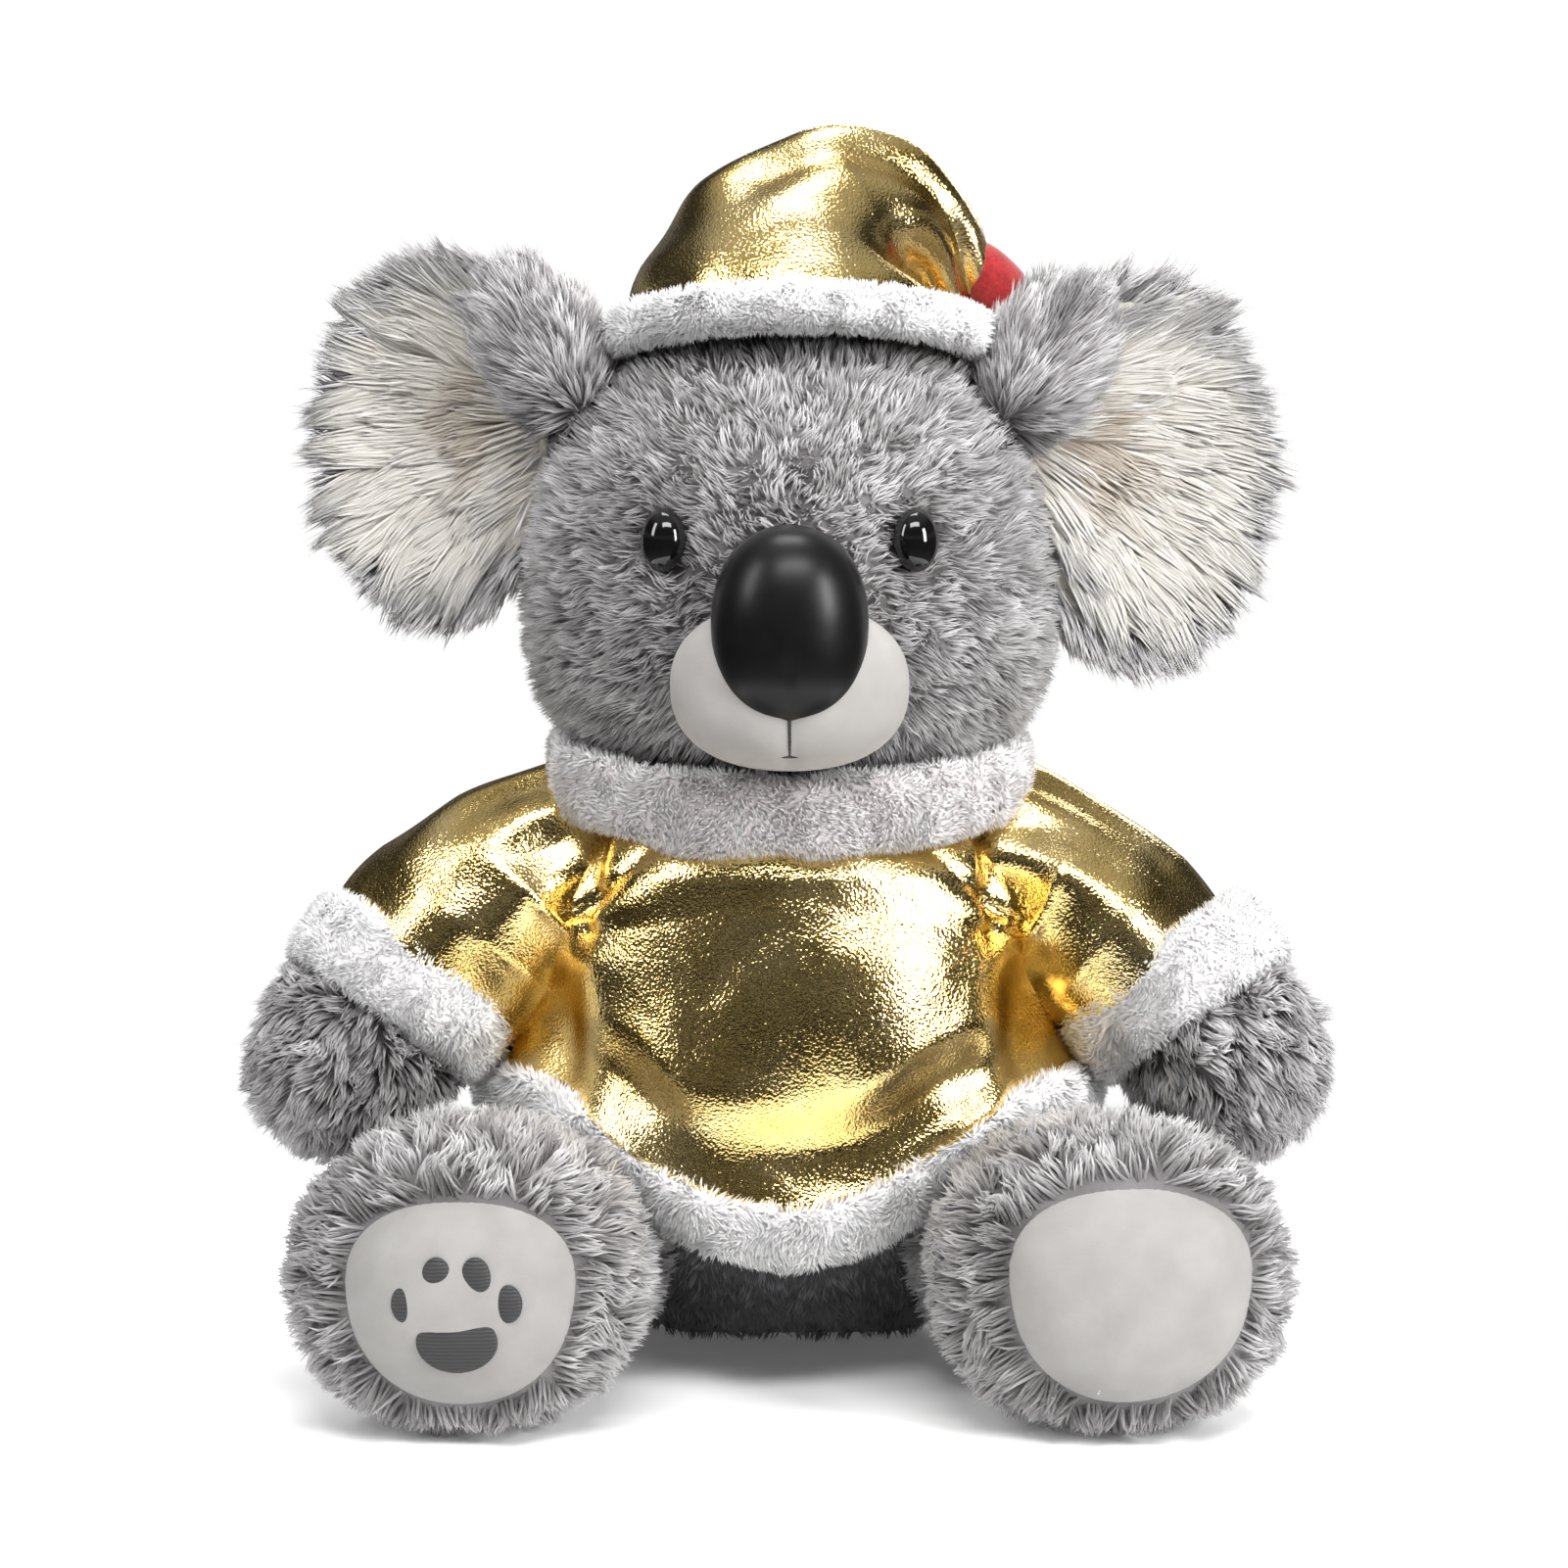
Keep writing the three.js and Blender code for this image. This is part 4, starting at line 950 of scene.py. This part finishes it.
# Legs, feet and soles
for name, side in SIDES.items():
    heel = np.array(FOOT["centre"]) * (side, 1, 1)
    foot_half = np.array(FOOT["half"])
    root = np.array(THIGH["root"]) * (side, 1, 1)
    toward = unit(heel - root)

    def leg_form(u, v):
        points = ball(heel, foot_half, u, v, (2.15, 2.15))
        back = smooth(points[:, 1], heel[1] + 2.0, heel[1] + foot_half[1])
        rest = points - heel
        sideways = rest - (rest @ toward)[:, None] * toward
        wide = np.linalg.norm(sideways, axis=1)
        drawn = unit(sideways) * np.minimum(wide, THIGH["root_radius"])[:, None]
        points = mix(points, root + drawn, (back ** 1.4)[:, None])
        points[:, 2] = np.maximum(points[:, 2], FLOOR_CUT)
        return points

    sole_x, sole_z = SOLE[name]["centre"]
    sole_wide, sole_tall = SOLE[name]["half_width"], SOLE[name]["half_height"]

    def sole_share(x, z):
        """How far out a place is on the sole, which is broad at the toes and drawn in at the heel."""
        up = (z - sole_z) / sole_tall
        across = (x - sole_x) / (sole_wide * (1 + 0.13 * np.clip(up, -1, 1)))
        return np.abs(across) ** 2.3 + np.abs(up) ** 2.3

    def off_sole(p, n):
        front = (p[:, 1] < heel[1]) & (sole_share(p[:, 0], p[:, 2]) < 0.95)
        hidden = (p[:, 1] > -22.0) & (np.abs(p[:, 0]) < 46)
        return np.where(front | hidden | (p[:, 2] < 1.0), 0.0, 1.0)

    def leg_tone(p):
        # Painted shade: the pile is darker on the inner sides of the legs next to the body, and a little
        # darker towards the floor
        inner = smooth(-np.abs(p[:, 0]), -47.0, -37.0) * smooth(p[:, 1], -66.0, -50.0)
        return 0.16 * ripple(p, 12.0, 26) - 0.12 - 0.34 * inner - 0.08 * smooth(-p[:, 2], -20, -4)

    leg = furred(
        wrapped(f"leg_{name}", 88, 72, leg_form), grey_pile,
        count=14500, length=6.8, width=0.37, seed=101 + side,
        lift=0.6, lean=0.9, joints=1, clump=2.4, gather=0.72, droop=0.03,
        comb=lambda p, n: unit((p - heel) * (1, 0.3, 1)) + (0, 0.2, -0.1),
        keep=off_sole, tone=leg_tone,
        scale=lambda p, n: 0.55 + 0.45 * smooth(p[:, 2], 1.0, 14.0),
    )
    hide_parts(f"leg_skin_{name}", f"leg_fill_{name}")
    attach(leg, f"leg_{name}")

    def foot_front(x, z):
        """How far forward the foot's own form reaches behind its sole."""
        share = 1 - ((x - heel[0]) / foot_half[0]) ** 2 - ((z - heel[2]) / foot_half[2]) ** 2
        return heel[1] - foot_half[1] * np.sqrt(np.maximum(share, 0.05))

    def sole_form(u, v):
        """A crowned pad that follows the front of the foot, drawn in at its sewn edge."""
        turn, r = 2 * math.pi * u, np.sin(math.pi * v)
        c, s = np.cos(turn), np.sin(turn)
        c, s = np.sign(c) * np.abs(c) ** 0.87, np.sign(s) * np.abs(s) ** 0.87
        z = sole_z + s * r * sole_tall
        x = sole_x + c * r * sole_wide * (1 + 0.13 * s * r)
        crown = np.where(v < 0.5, -SOLE_THICKNESS * np.sqrt(np.maximum(0, 1 - r**4)), 1.5)
        crease = 0.8 * ripple(np.stack([x, z, z * 0], axis=1), 24.0, 111 + side) * (1 - r**2)
        if name == "right":
            across, up = x - sole_x, z - sole_z
            tucks = [np.hypot(across - a, up - b) for a, b in SOLE_TUCK]
            tuck = bell(np.min(tucks, axis=0) / 1.4) * smooth(-r, -0.9, -0.72)
            crown = crown * (1 - 0.45 * tuck * (v < 0.5))
        return np.stack([x, foot_front(x, z) + crown + crease, z], axis=1)

    sole = dressed(wrapped(f"sole_{name}", 80, 40, sole_form), shaded_sole_velour)
    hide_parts(f"foot_sole_{name}")
    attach(sole, f"leg_{name}")

    if name == "left":
        pads = []
        for across, up, wide, tall in PAW_PADS:
            x, z = sole_x + across, sole_z + up - PAW_PRINT["drop"]
            y = float(foot_front(x, z)) - SOLE_THICKNESS + PAW_PRINT["proud"]
            half = (wide, PAW_PRINT["half_thickness"], tall)
            pad = wrapped("pad", 40, 24, lambda u, v: ball((x, y, z), half, u, v))
            pads.append(dressed(pad, black_thread))
        print_piece = joined("paw_print", *pads)
        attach(print_piece, "leg_left")
    else:
        seam = [(sole_x - 7.0 + k * 0.3, sole_z - 20.6 + k * 1.2) for k in range(5)]
        seam = [(x, float(foot_front(x, z)) - SOLE_THICKNESS * 0.55, z) for x, z in seam]
        stitch_line("sole_dart", seam, 0.3, pale_thread, "leg_right", (1, 0, 0))


# Jumper
def hem_height(turn):
    from_front = np.abs((np.degrees(turn) + 90 + 180) % 360 - 180)
    rise = smooth(from_front, 0, HEM_DEGREES["rise_end"])
    fall = smooth(from_front, HEM_DEGREES["fall_start"], 180)
    return mix(mix(HEM_HEIGHTS["front"], HEM_HEIGHTS["side"], rise), HEM_HEIGHTS["back"], fall)


def jumper_surface(turn, level, proud=0.0):
    backness, frontness = np.maximum(0, np.sin(turn)), np.maximum(0, -np.sin(turn))
    z = mix(TORSO["height"] - 1.0, hem_height(turn), level)
    wide = torso_share(z)
    flare = 0.55 * level**2 + 0.45 * level**4
    wander = 0.022 * np.sin(turn * 5.0 + 0.6) + 0.014 * np.sin(turn * 11.0)
    tuck = (4.2 + 1.6 * np.sin(turn * 4.0 - 0.7)) * smooth(level + wander, 0.7, 0.88)
    belly = 3.2 * bell((level - 0.5) / 0.3) - tuck
    ease = 3.0 + mix(13.0, 7.0, backness) * flare + belly * frontness + proud
    return np.stack([
        np.cos(turn) * (wide * TORSO["half_width"] + ease),
        TORSO["centre_y"] + np.sin(turn) * (wide * TORSO["half_depth"] + ease),
        z,
    ], axis=1)


def jumper_folds(points):
    """Pleats that run up from each armpit, a hollow below it, and soft waves over the belly."""
    front = smooth(-points[:, 1], -4.0, 14.0)
    depth = 1.5 * ripple(points * (1, 1, 0.8), 38.0, 131)
    for side in SIDES.values():
        inward = 54.0 - side * points[:, 0]
        up = points[:, 2] - 99.0
        r = np.hypot(inward, up)
        angle = np.arctan2(up, inward)
        fan = (1.1 - 2 * np.sqrt(np.abs(np.cos(angle * 6.0 + 0.25)))) * smooth(angle, 0.1, 0.6)
        depth -= 3.2 * fan * smooth(r, 3, 12) * np.exp(-r / 26.0) * front
        armhole = bell((inward - 8.0 - 0.12 * up) / 2.4) * smooth(up, -4, 6) * smooth(-up, -34, -22)
        depth -= 2.6 * armhole * front
        depth -= 4.0 * bell(inward / 7.0) * smooth(-up, 0, 14) * smooth(up, -48, -26) * front
    x, z = points[:, 0] - 38.0, points[:, 2] - 62.0
    depth += 1.8 * bell((x * 0.5 - z * 0.87) / 3.0) * bell((x * 0.87 + z * 0.5) / 13.0) * front
    return depth


def jumper_form(u, v):
    turn = 2 * math.pi * u
    points = jumper_surface(turn, v)
    outward = unit((points - (0, TORSO["centre_y"], 0)) * (1, 1, 0))
    return points + outward * jumper_folds(points)[:, None]


jumper = dressed(cloth(wrapped("jumper", 230, 84, jumper_form)), foil)
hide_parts("jumper_body")
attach(jumper, "torso")

for name, side in SIDES.items():
    sleeve_path = np.array(SLEEVE_ROUTE) * (side, 1, 1)

    def sleeve_form(u, v):
        points = tube_form(sleeve_path, u, v, widths(v, SLEEVE_WIDTHS))
        middle = by_length(sleeve_path, v)
        out = unit(points - middle)
        front = smooth(-out[:, 1], -0.1, 0.6)
        turn = 2 * math.pi * u
        gathers = np.sin(turn * 9.0 + 2.5 * v) * smooth(v, 0.12, 0.3) * smooth(-v, -0.7, -0.3)
        pull = 0.5 - np.sqrt(np.abs(np.sin(v * 14 + np.cos(turn))))
        pull = pull * smooth(-out[:, 2] - 0.5 * out[:, 1], -0.1, 0.7) * bell((v - 0.42) / 0.24)
        folds = 0.9 * gathers * front + 2.6 * pull + 1.1 * ripple(points, 26.0, 141 + side)
        folds = folds * smooth(-v, -1.0, -0.9)
        slack = smooth(out @ (0.5 * side, 0, 0.87), 0.1, 0.9) * smooth(v, 0.15, 0.5)
        folds = folds - SLEEVE_SLACK[name] * slack
        return points + out * folds[:, None]

    sleeve = dressed(cloth(wrapped(f"sleeve_{name}_cloth", 140, 56, sleeve_form)), foil)
    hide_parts(f"sleeve_{name}")
    tuple(lay([side * 46.0, 6.0, 114.0]))
    tuple(lay([side * 62.0, 6.0, 114.0]))
    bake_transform(sleeve)


# Plush bands
def band_form(centre_of, along_of, out_of, height, thickness, u, v):
    """A rolled band: u goes round the toy and v round the band's own section."""
    turn, section = 2 * math.pi * u, 2 * math.pi * v
    fat = np.abs(np.cos(section)) ** 0.8 * np.sign(np.cos(section))
    tall = np.abs(np.sin(section)) ** 0.8 * np.sign(np.sin(section))
    return (centre_of(turn) + out_of(turn) * (fat * thickness / 2)[:, None]
            + along_of(turn) * (tall * height / 2)[:, None])


def oval_ring(half_width, half_depth):
    """A level oval, as places for each turn."""
    return lambda turn: np.stack([np.cos(turn) * half_width, np.sin(turn) * half_depth, 0 * turn], axis=1)


def ring_way(half_width, half_depth):
    """The way straight out of a level oval, for each turn."""
    return lambda turn: unit(oval_ring(1 / half_width, 1 / half_depth)(turn))


def upwards(turn):
    return np.array([0, 0, 1.0])


def tilted(points, degrees):
    """Points turned about the line across the toy."""
    return points @ turn_matrix("x", degrees).T


def trim(base, count, seed, length=2.1, comb=None, tone=0.0):
    return furred(
        base, trim_pile, count, length, width=0.35, seed=seed,
        lift=0.65, lean=0.8, comb=comb, clump=1.3, gather=0.25, swirl=0.8,
        tone=lambda p: tone + 0.08 * ripple(p, 9.0, 151), hair_noise=0.06, clump_noise=0.08,
    )


def collar_form(u, v):
    points = band_form(
        oval_ring(COLLAR["half_width"] - 2 * TRIM_PILE, COLLAR["half_depth"] - 2 * TRIM_PILE),
        upwards, ring_way(COLLAR["half_width"], COLLAR["half_depth"]),
        COLLAR["height"] - 4 * TRIM_PILE, COLLAR["thickness"] - 2 * TRIM_PILE, u, v,
    )
    points += (0.5 * ripple(points, 18.0, 161))[:, None]
    return tilted(points, COLLAR["tilt"]) + (0, COLLAR["y"], COLLAR["z"])


# Painted shade: the collar's pile is toned darker and pinker than the other bands, for the shade under the
# head
collar = trim(wrapped("collar", 140, 28, collar_form), count=28000, seed=162, tone=-0.42)
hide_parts("collar_trim")
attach(collar, "torso")


def hem_form(u, v):
    fall = -HEM_BAND["height"] / 2 + HEM_BAND["lap"]
    return band_form(
        lambda t: jumper_surface(t, np.ones_like(t), -HEM_BAND["inset"]) + (0, 0, fall),
        upwards, ring_way(TORSO["half_width"], TORSO["half_depth"]),
        HEM_BAND["height"] - 4 * TRIM_PILE, HEM_BAND["thickness"] - 2 * HEM_BAND["pile"], u, v,
    )


hem = trim(wrapped("hem", 180, 24, hem_form), count=32000, seed=171, length=3.0, comb=hanging(0.5))
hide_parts("hem_trim")
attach(hem, "torso")

for name, side in SIDES.items():
    route = np.array(ARM_ROUTE) * (side, 1, 1)
    middle = mix(route[2], route[3], CUFF["along_share"])
    away = unit(route[3] - route[2])
    across = unit(np.cross(away, np.array([0, 1.0, 0])))
    upright = np.cross(away, across)

    def cuff_form(u, v):
        def out(t):
            return across * np.cos(t)[:, None] + upright * np.sin(t)[:, None]
        return middle + band_form(
            lambda t: out(t) * CUFF["radius"], lambda t: away, out, CUFF["height"], CUFF["thickness"], u, v)

    cuff = trim(wrapped(f"cuff_{name}_band", 100, 24, cuff_form), count=13000, seed=181 + side)
    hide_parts(f"cuff_{name}")
    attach(cuff, f"arm_{name}")


# Hat
HAT_CENTRE = np.array([1.5, 0.0, BRIM["centre_z"]])


def on_hat(points):
    return tilted(points, -BRIM["tilt"]) + HAT_CENTRE


CROWN_ROUTE = np.array(
    [(0, 0, -0.8), (1, 0, 9), (5, 1, 20), (12, 2, 28), (22, 4, 30), (32, 8, 25), (38, 13, 16)], float)
CROWN_WIDTHS = [(0, 39.5), (0.12, 38.5), (0.3, 33.0), (0.48, 25.5), (0.64, 19.0), (0.8, 13.0), (1.0, 7.5)]
# Creases: where each lies round the crown and its width, in radians, its depth, and where it begins
CROWN_CREASES = [
    (4.75, 0.11, 5.2, 0.4), (4.25, 0.13, 4.2, 0.3), (5.35, 0.14, 4.4, 0.36), (3.75, 0.2, 2.6, 0.25),
    (1.1, 0.3, 4.0, 0.3), (2.3, 0.26, 3.2, 0.3),
]


def crown_form(u, v):
    """A soft cone bent over to one side; its creases close in towards the tail."""
    points = tube_form(CROWN_ROUTE, u, v, widths(v, CROWN_WIDTHS))
    middle = by_length(CROWN_ROUTE, v)
    out = unit(points - middle)
    turn = 2 * math.pi * u
    depth = 0.9 * ripple(points, 22.0, 191) * smooth(v, 0.05, 0.3)
    for at, width, deep, begin in CROWN_CREASES:
        gap = (turn - at - 0.7 * (v - 0.6) + math.pi) % (2 * math.pi) - math.pi
        fold = bell(gap / width) - 0.35 * bell(gap / width / 2.2)
        depth -= deep * fold * smooth(v, begin - 0.15, begin + 0.15)
    points = points + out * depth[:, None]
    points[:, 1] *= 0.93
    return on_hat(points)


crown = dressed(cloth(wrapped("hat_cloth", 160, 88, crown_form)), foil)
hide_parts("hat_crown")
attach(crown, "hat")


def brim_form(u, v):
    points = band_form(
        oval_ring(BRIM["half_width"], BRIM["half_depth"]),
        upwards, ring_way(BRIM["half_width"], BRIM["half_depth"]),
        BRIM["height"] - 4 * TRIM_PILE, BRIM["thickness"] - 2 * TRIM_PILE, u, v,
    )
    return on_hat(points)


brim = trim(wrapped("brim", 130, 26, brim_form), count=22000, seed=201)
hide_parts("hat_brim")
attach(brim, "hat")

TAIL_ROUTE = np.array([(35, 10, 25), (43, 10, 21), (49, 16, 11), (46, 30, 0)], float)
TAIL_WIDTHS = [(0, 0), (0.03, 5), (0.35, 7.5), (0.7, 6.5), (0.97, 4), (1, 0)]


def tail_form(u, v):
    return on_hat(tube_form(TAIL_ROUTE, u, v, widths(v, TAIL_WIDTHS)))


tail = dressed(wrapped("felt_tail", 40, 40, tail_form), red_felt)
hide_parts("hat_tail")
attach(tail, "hat")

pom_low, pom_high = cad_box_mm("hat_pompom")
pom_centre = (pom_low + pom_high) / 2 - SHIFT
pompom = furred(
    wrapped("pompom", 40, 28, lambda u, v: ball(pom_centre, (POMPOM_CORE,) * 3, u, v)), trim_pile,
    count=2800, length=4.6, width=0.36, seed=211, lift=1.0, lean=0.2, joints=1, clump=1.6, gather=0.3,
)
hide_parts("hat_pompom")
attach(pompom, "hat")

# Inner washers keep their own solids
for node in ("nose_washer", "eye_washer_left", "eye_washer_right"):
    dressed(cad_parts[node], washer_plastic)

# Camera, floor and lights
TARGET = np.array([-1.2, 0.0, 132.0])
ELEVATION = math.radians(6.0)
DISTANCE = 700.0
FOCAL_PX, FRAME_PX, SENSOR = 3111.0, 1601.0, 36.0
FLOOR_RADIUS = 0.24  # metres, as the lights are
camera_data = bpy.data.cameras.new("Camera")
camera_data.sensor_width = SENSOR
camera_data.lens = FOCAL_PX / FRAME_PX * SENSOR
camera = bpy.data.objects.new("Camera", camera_data)
camera.location = lay(TARGET + DISTANCE * np.array([0, -math.cos(ELEVATION), math.sin(ELEVATION)]))
camera.rotation_euler = (math.pi / 2 - ELEVATION, 0, 0)
camera_data.clip_start = 0.01
bpy.context.scene.collection.objects.link(camera)
bpy.context.scene.camera = camera

deselect()
bpy.ops.mesh.primitive_circle_add(vertices=128, radius=FLOOR_RADIUS, fill_type="NGON", location=(0, 0, 0))
floor = bpy.context.object
floor.name = "floor"
floor_material, nodes, links, shader = new_material("Pale floor")
place = nodes.new("ShaderNodeTexCoord")
reach = nodes.new("ShaderNodeVectorMath")
reach.operation = "LENGTH"
links.new(place.outputs["Object"], reach.inputs[0])
# The floor glows towards its edge, where it has to meet the white behind it
glow = map_range(nodes, links, reach.outputs["Value"], {
    "From Min": 0.12, "From Max": 0.225, "To Min": 0.08, "To Max": 1.0,
}, "SMOOTHSTEP")
links.new(glow, shader.inputs["Emission Strength"])
set_inputs(shader, {
    "Base Color": (0.92, 0.92, 0.92, 1), "Roughness": 0.9, "Emission Color": (1, 1, 1, 1),
})
dressed(floor, floor_material)


def softbox(name, place, target, size, power):
    light = bpy.data.lights.new(name, "AREA")
    light.shape = "RECTANGLE"
    light.size, light.size_y = size
    light.energy = power
    obj = bpy.data.objects.new(name, light)
    obj.location = place
    obj.rotation_euler = (Vector(target) - Vector(place)).to_track_quat("-Z", "Y").to_euler()
    bpy.context.scene.collection.objects.link(obj)


softbox("Key light", (0.8, -0.65, 0.5), (0, 0, 0.14), (0.22, 0.55), 12.0)
softbox("Left light", (-0.85, -0.5, 0.75), (0, 0, 0.14), (0.22, 0.6), 6.0)
softbox("Upper light", (0.1, -0.75, 1.05), (0, 0, 0.14), (0.8, 0.28), 11.5)
softbox("Top light", (0.0, 0.15, 1.25), (0, 0, 0.1), (0.5, 0.35), 6.0)
softbox("Back light", (0.3, 1.1, 0.8), (0, 0, 0.15), (0.8, 0.5), 8.0)

# The room is dark, with a faint ring above the horizon and a pale ceiling; the picture's ground is white
world = bpy.data.worlds.new("Studio")
bpy.context.scene.world = world
world.use_nodes = True
nodes, links = world.node_tree.nodes, world.node_tree.links
room = nodes["Background"]
sky = nodes.new("ShaderNodeTexCoord")
height = nodes.new("ShaderNodeSeparateXYZ")
links.new(sky.outputs["Generated"], height.inputs["Vector"])
level = map_range(nodes, links, height.outputs["Z"], {"From Min": -1.0})
# Rows of a height, from straight down at 0 to straight up at 1, and the grey there
ROOM_GREYS = [
    (0.2, 0.2), (0.38, 0.03), (0.56, 0.03), (0.59, 0.25), (0.63, 0.2), (0.67, 0.02), (0.8, 0.05),
    (0.92, 0.45),
]
links.new(ramp(nodes, links, level, [(at, (grey,) * 3) for at, grey in ROOM_GREYS]), room.inputs["Color"])
seen = nodes.new("ShaderNodeLightPath")
white = nodes.new("ShaderNodeBackground")
set_inputs(white, {"Color": (1, 1, 1, 1)})
choose = nodes.new("ShaderNodeMixShader")
links.new(seen.outputs["Is Camera Ray"], choose.inputs["Fac"])
links.new(room.outputs["Background"], choose.inputs[1])
links.new(white.outputs["Background"], choose.inputs[2])
links.new(choose.outputs["Shader"], nodes["World Output"].inputs["Surface"])
bpy.context.scene.view_settings.view_transform = "Standard"
